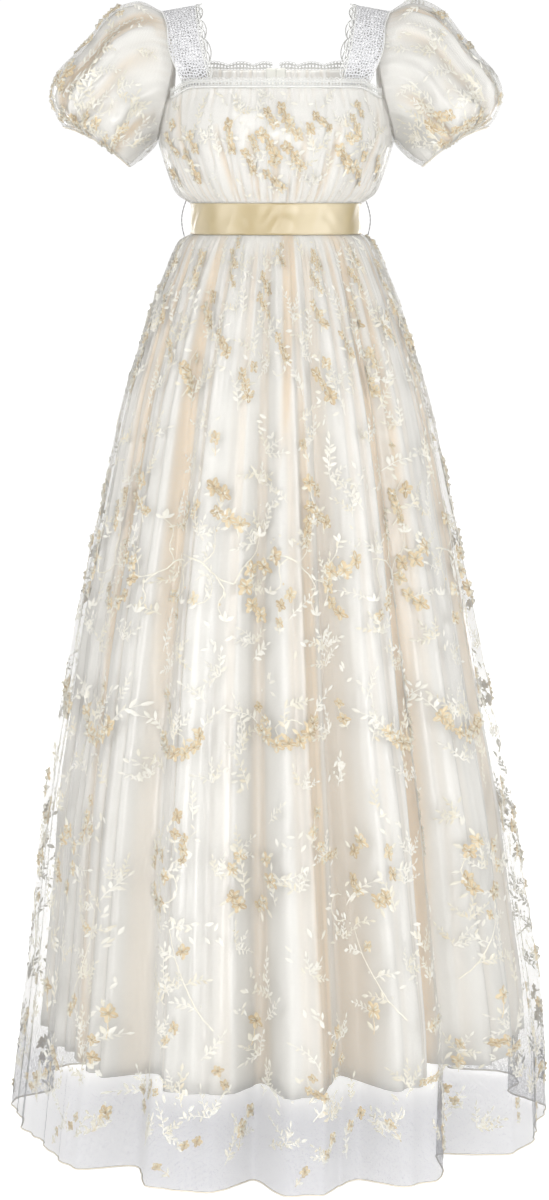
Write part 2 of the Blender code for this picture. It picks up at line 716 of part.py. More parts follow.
def back_lace_point(column, row):
    """Back neck lace with a scalloped free edge; the column counts quarter scallops."""
    arc = column * BACK_SCALLOP_PITCH / 4
    angle = 180.0 + math.degrees(arc / BODICE_SECTIONS[0].back)
    wave = abs(math.sin(math.pi * column / 4))
    z = NECK_BACK + SEAM_GAP + (BACK_LACE_HEIGHT + BACK_SCALLOP * wave) * (1.0 - row)
    return at_angle(angle, section_radius(BODICE_SECTIONS, angle, NECK_BACK), z)


def cord_tube(name, points, radius, material):
    """A round cord along a list of points, with filled ends."""
    curve = bpy.data.curves.new(name, "CURVE")
    curve.dimensions = "3D"
    curve.bevel_depth = radius
    curve.bevel_resolution = 0
    curve.use_fill_caps = True
    spline = curve.splines.new("POLY")
    spline.points.add(len(points) - 1)
    for place, point in zip(spline.points, points):
        place.co = (*point, 1.0)
    curve.materials.append(finish_material(material))
    item = bpy.data.objects.new(name, curve)
    bpy.context.collection.objects.link(item)
    return item


def make_neck_trims():
    end = neck_end_angle(front=True)
    steps = int(end // BODICE_PITCH)
    columns = [-end / BODICE_PITCH] + [float(n) for n in range(-steps, steps + 1)] + [end / BODICE_PITCH]
    cord_tube("neck_piping", [piping_centre(c * BODICE_PITCH) for c in columns],
              PIPING_RADIUS, "lace")
    cloth_panel("neck_lace_front", lace_point, columns, [0.0, 1.0], LACE_WALL, "lace")
    reach = math.radians(180.0 - neck_end_angle(front=False)) * BODICE_SECTIONS[0].back
    quarters = int(reach / BACK_SCALLOP_PITCH * 4)
    first = ZIP_GAP_HALF / BACK_SCALLOP_PITCH * 4
    columns = [-float(n) for n in range(quarters, 0, -1)] + [-first]
    both_sides("neck_lace_back", back_lace_point, columns, [0.0, 1.0], LACE_WALL, "lace")


# ---------------------------------------------------------------- waist

def waistband_point(column, row):
    angle = column * BODICE_PITCH
    z = SASH_TOP + (SASH_BOTTOM + SEAM_GAP - SASH_TOP) * row
    return at_angle(angle, section_radius(BODICE_SECTIONS, angle, z), z)


def sash_point(column, row):
    """The ribbon runs once round and its last stretch laps over its beginning."""
    angle = column * BODICE_PITCH
    z = SASH_TOP + (SASH_BOTTOM - SASH_TOP) * row
    out = SEAM_GAP + SASH_WALL
    over = (angle - (SASH_LAP_ANGLE - 2 * SASH_LAP_LENGTH)) / SASH_LAP_LENGTH
    out += (SASH_WALL + 2 * SEAM_GAP) * min(max(over, 0.0), 1.0)
    return at_angle(angle, section_radius(BODICE_SECTIONS, angle, z, out), z)


def make_waist():
    end = (180.0 - back_opening_angle()) / BODICE_PITCH
    steps = int(end)
    columns = [-end] + [float(n) for n in range(-steps, steps + 1)] + [end]
    cloth_panel("waistband", waistband_point, columns, [0.0, 1.0], SATIN_WALL, "satin")
    first = round((SASH_LAP_ANGLE - 360.0) / BODICE_PITCH)
    last = round((SASH_LAP_ANGLE + SASH_LAP_LENGTH) / BODICE_PITCH)
    columns = [float(n) for n in range(first, last + 1)]
    cloth_panel("sash", sash_point, columns, [0.0, 1.0], SASH_WALL, "ribbon")


def make_belt_loops():
    start_z = SASH_TOP + LOOP_END_ABOVE
    end_z = SASH_BOTTOM - LOOP_END_BELOW
    start_x = bodice_side_x(0.0, start_z, bodice_net_ease(start_z))
    end_x = section_radius(SKIRT_SECTIONS, 90.0, end_z)
    touch = LOOP_CORD_RADIUS + SEAM_GAP
    for side, sign in (("left", 1.0), ("right", -1.0)):
        points = []
        for step in range(LOOP_CORD_STEPS + 1):
            share = step / LOOP_CORD_STEPS
            bow = LOOP_BOW * math.sin(math.pi * share)
            x = start_x + (end_x - start_x) * share + touch + bow
            z = start_z + (end_z - start_z) * share
            points.append(Vector((sign * x, 0.0, z)))
        cord_tube("belt_loop_" + side, points, LOOP_CORD_RADIUS, "cord")


# ---------------------------------------------------------------- zip

def back_surface_y(z):
    return smooth_value(BODICE_SECTIONS, "back", z)


TAPE_OUTER_DEPTH = SATIN_WALL + SEAM_GAP + TAPE_EASE


def zip_heights(top):
    """Heights down the zip, level with the rows of the back panels beside it."""
    beside = [NECK_BACK + (BODICE_BOTTOM - NECK_BACK) * share for share in BODICE_ROW_SHARES]
    return [top] + [z for z in beside if z < top - SLIDER_LENGTH] + [ZIP_BOTTOM]


def tape_point(column, row):
    """Row 0 is the top of the zip; column 0 is the tape's outer edge and 1 the middle."""
    z = row_height(zip_heights(ZIP_TOP), row)
    x = TAPE_WIDTH + SEAM_GAP / 2 - TAPE_WIDTH * column
    return Vector((x, bodice_depth_y(x, z, front=False) - TAPE_OUTER_DEPTH, z))


def coil_point(column, row):
    z = row_height(zip_heights(COIL_TOP), row)
    y = back_surface_y(z) - TAPE_OUTER_DEPTH + SEAM_GAP + COIL_THICKNESS
    return Vector((COIL_WIDTH * (0.5 - column), y, z))


def prism(name, outline, low, high, along, material=None):
    """An outline pushed along one axis: "x" takes (y, z) points and "y" takes (x, z)."""
    mesh = bmesh.new()
    corners = []
    for first, second in outline:
        place = (low, first, second) if along == "x" else (first, low, second)
        corners.append(mesh.verts.new(place))
    face = mesh.faces.new(corners)
    pushed = bmesh.ops.extrude_face_region(mesh, geom=[face])["geom"]
    moved = [part for part in pushed if isinstance(part, bmesh.types.BMVert)]
    shift = (high - low, 0, 0) if along == "x" else (0, high - low, 0)
    bmesh.ops.translate(mesh, verts=moved, vec=shift)
    return add_object(name, mesh, material or "zip_metal")


def arc_points(centre, radius, start, end, steps):
    points = []
    for step in range(steps + 1):
        turn = math.radians(start + (end - start) * step / steps)
        points.append((centre[0] + radius * math.cos(turn), centre[1] + radius * math.sin(turn)))
    return points


def combine(target, operation, tools):
    """Join shapes to the target or cut them from it; the tools themselves are left out."""
    for tool in tools:
        tool.hide_render = True
        tool.display_type = "WIRE"
        step = target.modifiers.new(tool.name, "BOOLEAN")
        step.operation = operation
        step.object = tool


def make_slider():
    """Slider body with two cheeks that carry the pull tab's pin."""
    pivot = PULL_PIVOT
    inner_y = back_surface_y(pivot.z) - TAPE_OUTER_DEPTH + 2 * SEAM_GAP
    face_y = pivot.y - PULL_STAND
    half_top = SLIDER_WIDTH / 2
    half_low = SLIDER_WIDTH / 3
    outline = [
        (-half_top, SLIDER_TOP - SLIDER_ROUND),
        (-half_top + SLIDER_ROUND, SLIDER_TOP),
        (half_top - SLIDER_ROUND, SLIDER_TOP),
        (half_top, SLIDER_TOP - SLIDER_ROUND),
        (half_top, SLIDER_TOP - SLIDER_LENGTH / 2),
        (half_low, SLIDER_TOP - SLIDER_LENGTH),
        (-half_low, SLIDER_TOP - SLIDER_LENGTH),
        (-half_top, SLIDER_TOP - SLIDER_LENGTH / 2),
    ]
    body = prism("zip_slider", outline, inner_y, face_y, "y")
    tools = []
    cheek = arc_points((pivot.y, pivot.z), CHEEK_RADIUS, 90.0, -90.0, 6)
    root_y = face_y - CHEEK_ROOT
    cheek += [(root_y, pivot.z - CHEEK_RADIUS - CHEEK_ROOT), (root_y, pivot.z + CHEEK_RADIUS + CHEEK_ROOT)]
    for side in (-1.0, 1.0):
        edges = sorted((side * CHEEK_INNER, side * (CHEEK_INNER + CHEEK_THICKNESS)))
        tools.append(prism("cheek_tool", cheek, edges[0], edges[1], "x"))
    combine(body, "UNION", tools)
    ring = arc_points((pivot.y, pivot.z), PIN_RADIUS + SEAM_GAP, 0.0, 330.0, 11)
    hole = prism("pin_hole_tool", ring, -SLIDER_WIDTH, SLIDER_WIDTH, "x")
    combine(body, "DIFFERENCE", [hole])


def make_pull_tab():
    """Pull tab on its pin, hanging down from the cheeks of the slider."""
    pivot = PULL_PIVOT
    half = TAB_THICKNESS / 2
    low = pivot.z - TAB_LENGTH
    neck = pivot.z - TAB_NECK
    wide = TAB_WIDTH / 2
    narrow = CHEEK_INNER - SEAM_GAP
    outline = [(-narrow, pivot.z), (-narrow, neck), (-wide, neck - wide / 2)]
    outline += arc_points((0.0, low + wide), wide, 180.0, 360.0, 8)
    outline += [(wide, neck - wide / 2), (narrow, neck), (narrow, pivot.z)]
    plate = prism("zip_pull_tab", outline, pivot.y - half, pivot.y + half, "y")
    knuckle = prism("knuckle_tool", arc_points((pivot.y, pivot.z), KNUCKLE_RADIUS, 0.0, 330.0, 11),
                    -narrow, narrow, "x")
    pin = prism("pin_tool", arc_points((pivot.y, pivot.z), PIN_RADIUS, 0.0, 315.0, 7),
                -PIN_REACH, PIN_REACH, "x")
    combine(plate, "UNION", [knuckle, pin])
    hole = prism("tab_hole_tool", arc_points((0.0, low + wide), TAB_HOLE_RADIUS, 0.0, 330.0, 11),
                 pivot.y - TAB_WIDTH, pivot.y + TAB_WIDTH, "y")
    combine(plate, "DIFFERENCE", [hole])


def make_zip():
    rows = range(len(zip_heights(ZIP_TOP)))
    both_sides("zip_tape", tape_point, [0.0, 1.0], rows, TAPE_WALL, "tape")
    rows = range(len(zip_heights(COIL_TOP)))
    cloth_panel("zip_coil", coil_point, [0.0, 1.0], rows, COIL_THICKNESS, "coil")
    make_slider()
    make_pull_tab()


def main():
    clear_scene()
    make_skirts()
    make_bodice()
    make_sleeves()
    make_straps()
    make_neck_trims()
    make_waist()
    make_belt_loops()
    make_zip()


main()
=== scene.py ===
"""Looks of the regency gown: net embroidered with flowers over ivory satin, with a gold sash.

Metres, +Z up, the front faces -Y and the wearer's left is +X, as in the frame.  Each cloth
piece is a thin shell: a flat grid laid onto a surface function that takes a place across
and a place down the piece.
"""
import math
import random
from collections import namedtuple

import bmesh
import bpy
import numpy as np
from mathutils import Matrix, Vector


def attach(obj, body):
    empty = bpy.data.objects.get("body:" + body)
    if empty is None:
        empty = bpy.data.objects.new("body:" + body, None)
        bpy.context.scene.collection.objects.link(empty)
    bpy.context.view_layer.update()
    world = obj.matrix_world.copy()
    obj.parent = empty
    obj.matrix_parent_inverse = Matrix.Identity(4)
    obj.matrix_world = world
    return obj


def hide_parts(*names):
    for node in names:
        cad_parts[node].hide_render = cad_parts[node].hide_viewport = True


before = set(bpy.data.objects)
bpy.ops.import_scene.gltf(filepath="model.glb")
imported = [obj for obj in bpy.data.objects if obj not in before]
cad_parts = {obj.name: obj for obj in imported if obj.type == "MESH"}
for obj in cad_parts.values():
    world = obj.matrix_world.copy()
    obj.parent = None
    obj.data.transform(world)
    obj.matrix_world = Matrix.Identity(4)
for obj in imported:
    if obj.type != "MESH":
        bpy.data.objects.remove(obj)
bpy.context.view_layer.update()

# ---------------------------------------------------------------- sizes

SEAM_GAP = 0.0003
SATIN_WALL = 0.0012
NET_WALL = 0.001
SASH_TOP = -0.2473
SASH_BOTTOM = -0.2863
BODICE_BOTTOM = SASH_TOP + SEAM_GAP
SKIRT_TOP = SASH_BOTTOM - SEAM_GAP
SATIN_HEM = -1.325
NET_HEM = -1.434
SATIN_LENGTH = SKIRT_TOP - SATIN_HEM
NET_LENGTH = SKIRT_TOP - NET_HEM
NECK_FRONT = -0.1065
NECK_FRONT_DIP = 0.011
NECK_DIP_FROM = 50.0
NECK_DIP_WIDTH = 16.0
NECK_BACK = -0.0765
ARMHOLE_TOP = -0.008
ARMHOLE_BOTTOM = -0.1705
ARMHOLE_HALF_DEPTH = 0.055
EDGE_PASSES = 12
ZIP_GAP_HALF = 0.0045


def rows_of(kind, rows):
    return [kind(*row) for row in rows]


Section = namedtuple("Section", "z half_width front back square sway", defaults=(0,))
BODICE_SECTIONS = rows_of(Section, (
    (-0.06, 0.1345, 0.0985, 0.088, 2.5), (-0.106, 0.1385, 0.108, 0.091, 2.6),
    (-0.14, 0.1445, 0.12, 0.094, 2.5), (-0.168, 0.1466, 0.124, 0.095, 2.4),
    (-0.193, 0.14, 0.118, 0.094, 2.3), (-0.218, 0.1297, 0.108, 0.092, 2.3),
    (-0.236, 0.12, 0.1, 0.09, 2.2), (-0.247, 0.1075, 0.093, 0.0885, 2.2),
    (-0.287, 0.1075, 0.093, 0.0885, 2.2),
))
SKIRT_SECTIONS = rows_of(Section, (
    (-0.2866, 0.11, 0.0955, 0.0908, 2.2), (-0.293, 0.122, 0.1055, 0.101, 2.15),
    (-0.308, 0.131, 0.115, 0.112, 2.1), (-0.3317, 0.1405, 0.126, 0.124, 2.1),
    (-0.3697, 0.156, 0.142, 0.141, 2.05), (-0.4334, 0.177, 0.164, 0.165, 2),
    (-0.4973, 0.1965, 0.184, 0.186, 2), (-0.626, 0.224, 0.215, 0.221, 2),
    (-0.7559, 0.2525, 0.244, 0.25, 2, -0.0005), (-0.887, 0.278, 0.27, 0.276, 2, 0.0005),
    (-1.0193, 0.304, 0.296, 0.301, 2, 0.0025), (-1.1528, 0.3222, 0.317, 0.321, 2, 0.005),
    (-1.2875, 0.3405, 0.337, 0.34, 2, 0.0075), (-1.434, 0.353, 0.352, 0.354, 2, 0.002),
))
Gather = namedtuple("Gather", "z net_depth air satin_depth", defaults=(0,))
SKIRT_GATHERS = rows_of(Gather, (
    (-0.2866, 0.001, 0.0031, 0.0005), (-0.293, 0.0028, 0.0085, 0.0014), (-0.308, 0.004, 0.009, 0.0024),
    (-0.3317, 0.0052, 0.009, 0.003), (-0.3697, 0.006, 0.009, 0.004), (-0.4334, 0.0056, 0.009, 0.004),
    (-0.5615, 0.0044, 0.011, 0.0035), (-0.7559, 0.0026, 0.015, 0.002), (-0.92, 0.0012, 0.02, 0.001),
    (-1.12, 0.0004, 0.025, 0.0004), (-1.434, 0, 0.03, 0),
))
BODICE_GATHERS = rows_of(Gather, (
    (-0.0765, 0.0003, 0.0004), (-0.1065, 0.0008, 0.0004), (-0.145, 0.0003, 0.0005),
    (-0.19, 0.0012, 0.0006), (-0.23, 0.0026, 0.0012), (-0.24, 0.0016, 0.0016), (-0.247, 0.0004, 0.001),
))
# The share of its full depth that each small gather takes, in turn
UNEVEN = np.array([1.0, 0.62, 0.85, 0.5, 0.95, 0.7, 0.78])
BODICE_PITCH = 6.0
SKIRT_NET_PITCH = 3.0
SKIRT_SATIN_PITCH = 6.0

# The long folds: angle from the centre front, depth at the hem in each layer, half-width
Fold = namedtuple("Fold", "angle net_depth satin_depth half_angle")
SKIRT_FOLDS = rows_of(Fold, (
    (-66, 0.02, 0.026, 22), (-36, 0.056, 0.062, 9.5), (-6, 0.056, 0.062, 8.5), (17.5, 0.046, 0.092, 9.5),
    (46, 0.07, 0.082, 12.5), (78, 0.012, 0.02, 9), (102, 0.034, 0.042, 10), (127, 0.052, 0.06, 10),
    (152, 0.04, 0.052, 9), (176, 0.056, 0.066, 9), (201, 0.038, 0.046, 9), (227, 0.058, 0.066, 10),
    (255, 0.036, 0.044, 10), (276, 0.014, 0.02, 9),
))
FOLD_START = -0.295
FOLD_POWER = 0.85

Ring = namedtuple("Ring", "top_x top_z low_x low_z half_depth lean lift gather")
SLEEVE_RINGS = rows_of(Ring, (
    (0.1436, ARMHOLE_TOP, 0.15, ARMHOLE_BOTTOM, ARMHOLE_HALF_DEPTH, 0.0185, 0, 0.0008),
    (0.1735, 0.0045, 0.1528, -0.176, 0.067, 0.0085, 0, 0.0036),
    (0.2083, -0.01, 0.1605, -0.1843, 0.078, 0, 0, 0.003),
    (0.2413, -0.0477, 0.169, -0.1918, 0.086, 0, 0, 0.0018),
    (0.2756, -0.0817, 0.1768, -0.1968, 0.088, 0, 0, 0.0016),
    (0.2857, -0.1093, 0.1816, -0.1993, 0.082, 0, 0, 0.0022),
    (0.2781, -0.1378, 0.1845, -0.2006, 0.065, 0.002, 0.0034, 0.0034),
    (0.2692, -0.1515, 0.1858, -0.201, 0.049, 0.0036, 0.0056, 0.0016),
))
SLEEVE_NET_COLUMNS = 28
SLEEVE_SATIN_COLUMNS = 18
SLEEVE_SATIN_GATHER = 0.5
SLEEVE_SATIN_END = 6.5
SLEEVE_END = 7.0
# Room between the sleeve's two layers at each ring
SLEEVE_AIR = [0.0003, 0.0014, 0.0022, 0.0026, 0.0026, 0.0026, 0.0052, 0.007]
SLEEVE_TURNS = (180.0, 540.0)
# Fine gathers at the armhole and the cuff: how many rings they fade over and begin over,
# and the least of them that the seam itself keeps
SLEEVE_GATHERS_TOP = (0.5, 0.2, 0.0)
SLEEVE_GATHERS_CUFF = (0.35, 0.1, 0.3)
# How deep a crease trough must be for a sleeve's full painted shade, and how strongly its bands are painted
SLEEVE_SHADE_DEPTH = 0.009
SLEEVE_BAND_SHADE_SHARE = 1.25
RIGHT_SLEEVE_SHIFT = 20.0
ARMHOLE_EASE = 0.0009

# Soft creases laid over the folds: where each starts round the figure, how far it
# drifts by its lower end, how far below the piece's top it starts and ends, its height
# (a trough is negative) and its half-width
Crease = namedtuple("Crease", "place drift top low height width")
SKIRT_CREASES = rows_of(Crease, (
    (-84, -3, 0.02, 0.7, 0.005, 0.012), (-72, -6, 0.05, 0.95, 0.006, 0.016),
    (-60, 2, 0.01, 0.52, -0.005, 0.011), (-51, -4, 0.1, 1.1, 0.0065, 0.015),
    (-43, 3, 0.02, 0.6, 0.0055, 0.01), (-27, -2, 0.03, 0.8, 0.006, 0.012),
    (-21, 4, 0.22, 1.14, -0.006, 0.014), (-14, -1, 0.02, 0.66, 0.005, 0.01),
    (3, 2, 0.06, 1.05, 0.0065, 0.012), (6.5, 3, 0.01, 1.18, 0.01, 0.008),
    (24, 4, 0.05, 0.85, -0.0045, 0.013), (31, -2, 0.02, 1.08, 0.0065, 0.014),
    (38, 3, 0.12, 0.74, 0.005, 0.011), (55, -2, 0.02, 0.9, 0.006, 0.013),
    (63, 5, 0.2, 1.12, -0.0055, 0.015), (70, 2, 0.02, 0.62, 0.0055, 0.012),
    (86, 3, 0.06, 0.98, 0.006, 0.015), (96, -2, 0.02, 0.7, 0.005, 0.012),
    (112, 3, 0.04, 1.02, 0.006, 0.015), (119, -2, 0.18, 1.1, -0.005, 0.013),
    (139, 2, 0.02, 0.88, 0.0065, 0.014), (145, -3, 0.08, 0.6, 0.0045, 0.01),
    (164, 2, 0.03, 1.06, 0.006, 0.014), (187, -3, 0.02, 0.94, 0.0065, 0.014),
    (194, 2, 0.16, 0.7, -0.005, 0.012), (213, 3, 0.02, 1.04, 0.006, 0.015),
    (221, -1, 0.05, 0.56, 0.0045, 0.01), (240, 2, 0.04, 0.92, 0.006, 0.014),
    (248, -3, 0.2, 1.12, -0.005, 0.013), (265, 2, 0.03, 0.8, 0.0055, 0.013),
))
BODICE_CREASES = rows_of(Crease, (
    (-58, 7, 0, 0.85, -0.0016, 0.006), (-44, 9, 0.05, 1, 0.0018, 0.007), (-33, 6, 0.3, 1, -0.0018, 0.005),
    (-24, 7, 0.1, 1, 0.002, 0.006), (-15, 4, 0.35, 1, -0.0018, 0.005), (-8, 2, 0.02, 0.95, 0.0016, 0.006),
    (1, -1, 0.4, 1, -0.002, 0.005), (9, -2, 0.12, 1, 0.0018, 0.006), (18, -4, 0.34, 1, -0.0018, 0.005),
    (28, -7, 0.05, 1, 0.002, 0.006), (37, -8, 0.25, 1, -0.0018, 0.006), (49, -9, 0.02, 1, 0.0018, 0.007),
    (62, -6, 0.1, 0.9, -0.0015, 0.006), (118, 3, 0.2, 1, 0.0014, 0.007),
    (140, 2, 0.45, 1, -0.0014, 0.006), (158, 1, 0.4, 1, 0.0012, 0.006), (203, -1, 0.42, 1, 0.0012, 0.006),
    (222, -2, 0.4, 1, -0.0014, 0.006), (243, -3, 0.15, 1, 0.0014, 0.007),
))
# The same on a sleeve, in degrees round it and in rings along it
SLEEVE_CREASES = rows_of(Crease, (
    (350, -16, 0.2, 6.4, -0.006, 0.012), (331, -22, 0.5, 7, 0.0105, 0.007),
    (308, -10, 0.5, 5, -0.005, 0.012), (278, -8, 0.2, 3.6, 0.006, 0.009), (284, 22, 3.2, 7, 0.006, 0.01),
    (252, -6, 1.4, 7, -0.006, 0.012), (236, 10, 0.2, 4.4, 0.0058, 0.009),
    (306, 6, 4.2, 7, -0.0045, 0.009), (214, -6, 3, 7, 0.0045, 0.009), (8, -6, 0.1, 3.4, 0.0055, 0.01),
    (24, 8, 0.2, 4.8, -0.005, 0.012), (350, 4, 4.4, 7, 0.004, 0.01), (44, 10, 0.1, 3.2, 0.005, 0.01),
    (68, -8, 0.3, 4.4, -0.0048, 0.012), (92, 10, 0.2, 3, 0.005, 0.01), (76, 6, 3.8, 7, 0.0046, 0.01),
    (108, -8, 3.2, 7, -0.0046, 0.01), (128, 6, 0.2, 3.6, 0.0044, 0.01), (30, 6, 4.2, 7, 0.004, 0.009),
))
# Painted shade: where the satin is coloured a warmer, darker beige between the folds, laid out like the
# creases; the height is a share
PAINTED_SHADE_BANDS = rows_of(Crease, (
    (-72, 20, -0.3, 1.6, 0.8, 0.022), (-39, 2, -0.1, 0.6, 0.55, 0.016), (-10, 1, 0.1, 1.2, 0.22, 0.016),
    (21, -22, -0.3, 0.34, 0.9, 0.012), (12.5, -1, 0.16, 1.6, 1, 0.024), (42, 0, -0.12, 0.3, 0.35, 0.012),
    (53, -8, -0.3, 1.6, 0.75, 0.028), (84, 4, -0.2, 1.2, 0.5, 0.02), (103, -3, -0.3, 1.6, 0.8, 0.024),
    (130, 2, -0.2, 1, 0.5, 0.02), (153, -4, -0.3, 1.6, 0.85, 0.024), (178, 2, -0.1, 1.5, 0.45, 0.018),
    (203, 3, -0.3, 1.6, 0.8, 0.024), (229, -2, -0.2, 1.2, 0.6, 0.022), (257, 4, -0.3, 1.6, 0.75, 0.022),
))
# The same painted shade on a sleeve: where its satin is coloured a warmer, darker beige
SLEEVE_PAINTED_SHADE_BANDS = rows_of(Crease, (
    (350, -22, -0.4, 7.6, 1, 0.02), (252, -4, 0.8, 7.6, 0.6, 0.014), (284, 8, 2.6, 7.6, 0.45, 0.009),
    (20, 8, 0, 6, 0.6, 0.012), (62, -6, 0.2, 7, 0.7, 0.014), (106, 4, 0.6, 7.4, 0.6, 0.014),
))
# Painted shade on the ribbon: bands where it is coloured darker between its shiny places, laid out like the
# creases; the height is a share
RIBBON_SHADE_BANDS = rows_of(Crease, (
    (-52, 6, -0.6, 1.6, 0.6, 0.02), (-22, 0, -0.6, 1.6, 0.52, 0.03), (6, -4, -0.6, 1.6, 0.92, 0.038),
    (66, -6, -0.6, 1.6, 0.85, 0.018), (120, 5, -0.6, 1.6, 0.5, 0.03), (150, 5, -0.6, 1.6, 0.35, 0.02),
    (232, -5, -0.6, 1.6, 0.5, 0.03),
))
# A crease is narrower on one side, and its ends fade
CREASE_STEEP = 0.45
CREASE_ENDS = 0.6
BODICE_CREASE_SHARE = 1.7
NET_CREASE_SHARE = 0.65

# Rows of waves that go round the figure: how many, where they start and their share
FINE_GATHERS = ((97, 0.3, 0.55), (131, 1.7, 0.45), (163, 4.1, 0.35))
FINE_GATHER_FADE = 0.075
FINE_GATHER_DEPTH = 0.0011
FINE_GATHER_START = 0.012
FINE_GATHER_LEAST = 0.15
BODICE_WAVES = ((71, 0.5, 0.6), (103, 2.4, 0.5), (47, 4.0, 0.5))
BODICE_GATHER_DEPTH = 0.0019
BODICE_GATHER_REACH = 0.25
BODICE_GATHER_GROWN = 0.6
BODICE_GATHER_POWER = 1.3
NECK_GATHER_SHARE = 0.35
WAIST_SEAM_FADE = 0.03
WAIST_SEAM_LEAST = 0.2
BODICE_SATIN_RISE = 0.0009
BODICE_NET_SINK = 0.002
# How deep a crease trough must be for the bodice's full painted shade, and the most painted shade it takes
BODICE_SHADE_DEPTH = 0.004
BODICE_SHADE_MOST = 0.7
SLEEVE_WAVES = ((41, 0.7, 1.0), (67, 2.0, 0.6))
SLEEVE_FINE_DEPTH = 0.0011
# Soft pipes that run down the skirt between the long folds
FLUTES = ((29, 0.4, 1.0), (43, 2.2, 0.9), (61, 5.0, 0.55))
FLUTE_TOP = 0.0012
FLUTE_GROWTH = 0.0042
FLUTE_GROWN = 0.7
NET_FLUTE_SHARE = 0.45
FLUTE_SHARPNESS = 1.3
FLUTE_WANDER = 0.5
FLUTE_WANDER_PITCH = 3.1
SEAM_FADE = 0.03
# Where the net has nothing behind it, it is coloured a darker grey as painted shade and its threads grow
# thicker: how far above the satin's hem that starts, what it fades over, and how much of it shows at the
# sides
BARE_START = 0.004
BARE_FADE = 0.01
BARE_AT_SIDES = 0.66
# What gives the satin its painted shade: the painted shade bands, long folds and pipes
BAND_SHADE_SHARE = 1.15
FOLD_SHADE_SHARE = 0.22
FOLD_FULL_SHADE_DEPTH = 0.045
PIPE_SHADE_SHARE = 0.3
PIPE_SHADE_AT_TOP = 0.32
PIPE_SHADE_FADE = 0.2


# ---------------------------------------------------------------- forms of the gown

def read_curve(keys, values, place):
    """Read a smooth curve through a few values, at many places at once."""
    keys = np.array(keys, float)
    values = np.array(values, float)
    if keys[0] > keys[-1]:
        keys = keys[::-1]
        values = values[::-1]
    ends = np.diff(values) / np.diff(keys)
    middle = (values[2:] - values[:-2]) / (keys[2:] - keys[:-2])
    slopes = np.concatenate([ends[:1], middle, ends[-1:]])
    place = np.clip(place, keys[0], keys[-1])
    index = np.clip(np.searchsorted(keys, place, side="right") - 1, 0, len(keys) - 2)
    span = keys[index + 1] - keys[index]
    part = (place - keys[index]) / span
    rise = values[index + 1] - values[index]
    start = slopes[index] * span
    end = slopes[index + 1] * span
    cubic = start + end - 2 * rise
    square = 3 * rise - 2 * start - end
    return values[index] + part * (start + part * (square + part * cubic))


def smooth(share):
    """A share from 0 to 1 that starts and ends gently."""
    return share * share * (3.0 - 2.0 * share)


def by_height(rows, column, z):
    return read_curve([row.z for row in rows], [getattr(row, column) for row in rows], z)


def bodice(column, z):
    return by_height(BODICE_SECTIONS, column, z)


def by_ring(column, ring):
    return read_curve(range(len(SLEEVE_RINGS)), [getattr(row, column) for row in SLEEVE_RINGS], ring)


def joined(x, y, z):
    return np.stack(np.broadcast_arrays(x, y, z), axis=-1)


def at_angle(angle, radius, z, sway=0.0):
    turn = np.radians(angle)
    return joined(radius * np.sin(turn) + sway, -radius * np.cos(turn), z)


def section_radius(sections, angle, z, extra=0.0):
    turn = np.radians(angle)
    half_width = by_height(sections, "half_width", z) + extra
    front = by_height(sections, "front", z)
    back = by_height(sections, "back", z)
    depth = np.where(np.cos(turn) > 0, front, back) + extra
    power = by_height(sections, "square", z)
    across = np.abs(np.sin(turn)) / half_width
    along = np.abs(np.cos(turn)) / depth
    return (across ** power + along ** power) ** (-1.0 / power)


def degree_length(sections, angle, z):
    """Metres to a degree round the figure."""
    return section_radius(sections, angle, z) * math.pi / 180


def still_wide(share, power):
    """What is left of one half axis at a share of the way along the other."""
    return np.clip(1.0 - np.abs(share) ** power, 0, None) ** (1.0 / power)


def bodice_side_x(y, z, extra=0.0):
    depth = np.where(y < 0, bodice("front", z), bodice("back", z)) + extra
    return (bodice("half_width", z) + extra) * still_wide(y / depth, bodice("square", z))


def bodice_depth(face, x, z, extra=0.0):
    """Depth of the bodice's front or back at a half width and height."""
    share = x / (bodice("half_width", z) + extra)
    depth = (bodice(face, z) + extra) * still_wide(share, bodice("square", z))
    return -depth if face == "front" else depth


def gather_wave(column):
    """Small gathers: 0 on a ridge and up to 1 in a valley, two columns to a gather."""
    size = UNEVEN[(np.floor(column / 2).astype(int)) % len(UNEVEN)]
    return (1 - np.cos(math.pi * column)) / 2 * size


def waves(angle, rows, wander=0.0):
    return sum(size * np.sin(np.radians(angle) * count + start + wander) for count, start, size in rows)


def around(angle, middle):
    """Degrees from a middle, the short way round."""
    return (angle - middle + 180.0) % 360.0 - 180.0


def crease_height(creases, place, down, metres):
    """How far the creases move the cloth out at places round the piece and down it."""
    total = np.zeros(np.broadcast(place, down).shape)
    for crease in creases:
        share = np.clip((down - crease.top) / (crease.low - crease.top), 0, 1)
        away = around(place, crease.place + crease.drift * share)
        ends = np.sin(math.pi * share) ** CREASE_ENDS
        width = np.where(away > 0, crease.width * CREASE_STEEP, crease.width)
        total += crease.height * ends * np.exp(-(away * metres / width) ** 2)
    return total


def fold_valley(angle, z, layer):
    growth = np.clip((FOLD_START - z) / (FOLD_START - NET_HEM), 0, None) ** FOLD_POWER
    depth = np.zeros(np.broadcast(angle, z).shape)
    for fold in SKIRT_FOLDS:
        away = np.clip(np.abs(around(angle, fold.angle)) / fold.half_angle, 0, 1)
        depth += getattr(fold, layer) * np.cos(away * math.pi / 2) ** 2
    return depth * growth


def fine_gathers(angle, drop):
    """Tiny gathers under a seam, fading out downwards."""
    fade = np.exp(-drop / FINE_GATHER_FADE) * np.clip(drop / FINE_GATHER_START, FINE_GATHER_LEAST, 1)
    return FINE_GATHER_DEPTH * waves(angle, FINE_GATHERS) * fade


def flute_depth(drop):
    return FLUTE_TOP + FLUTE_GROWTH * np.clip(drop / FLUTE_GROWN, 0, 1)


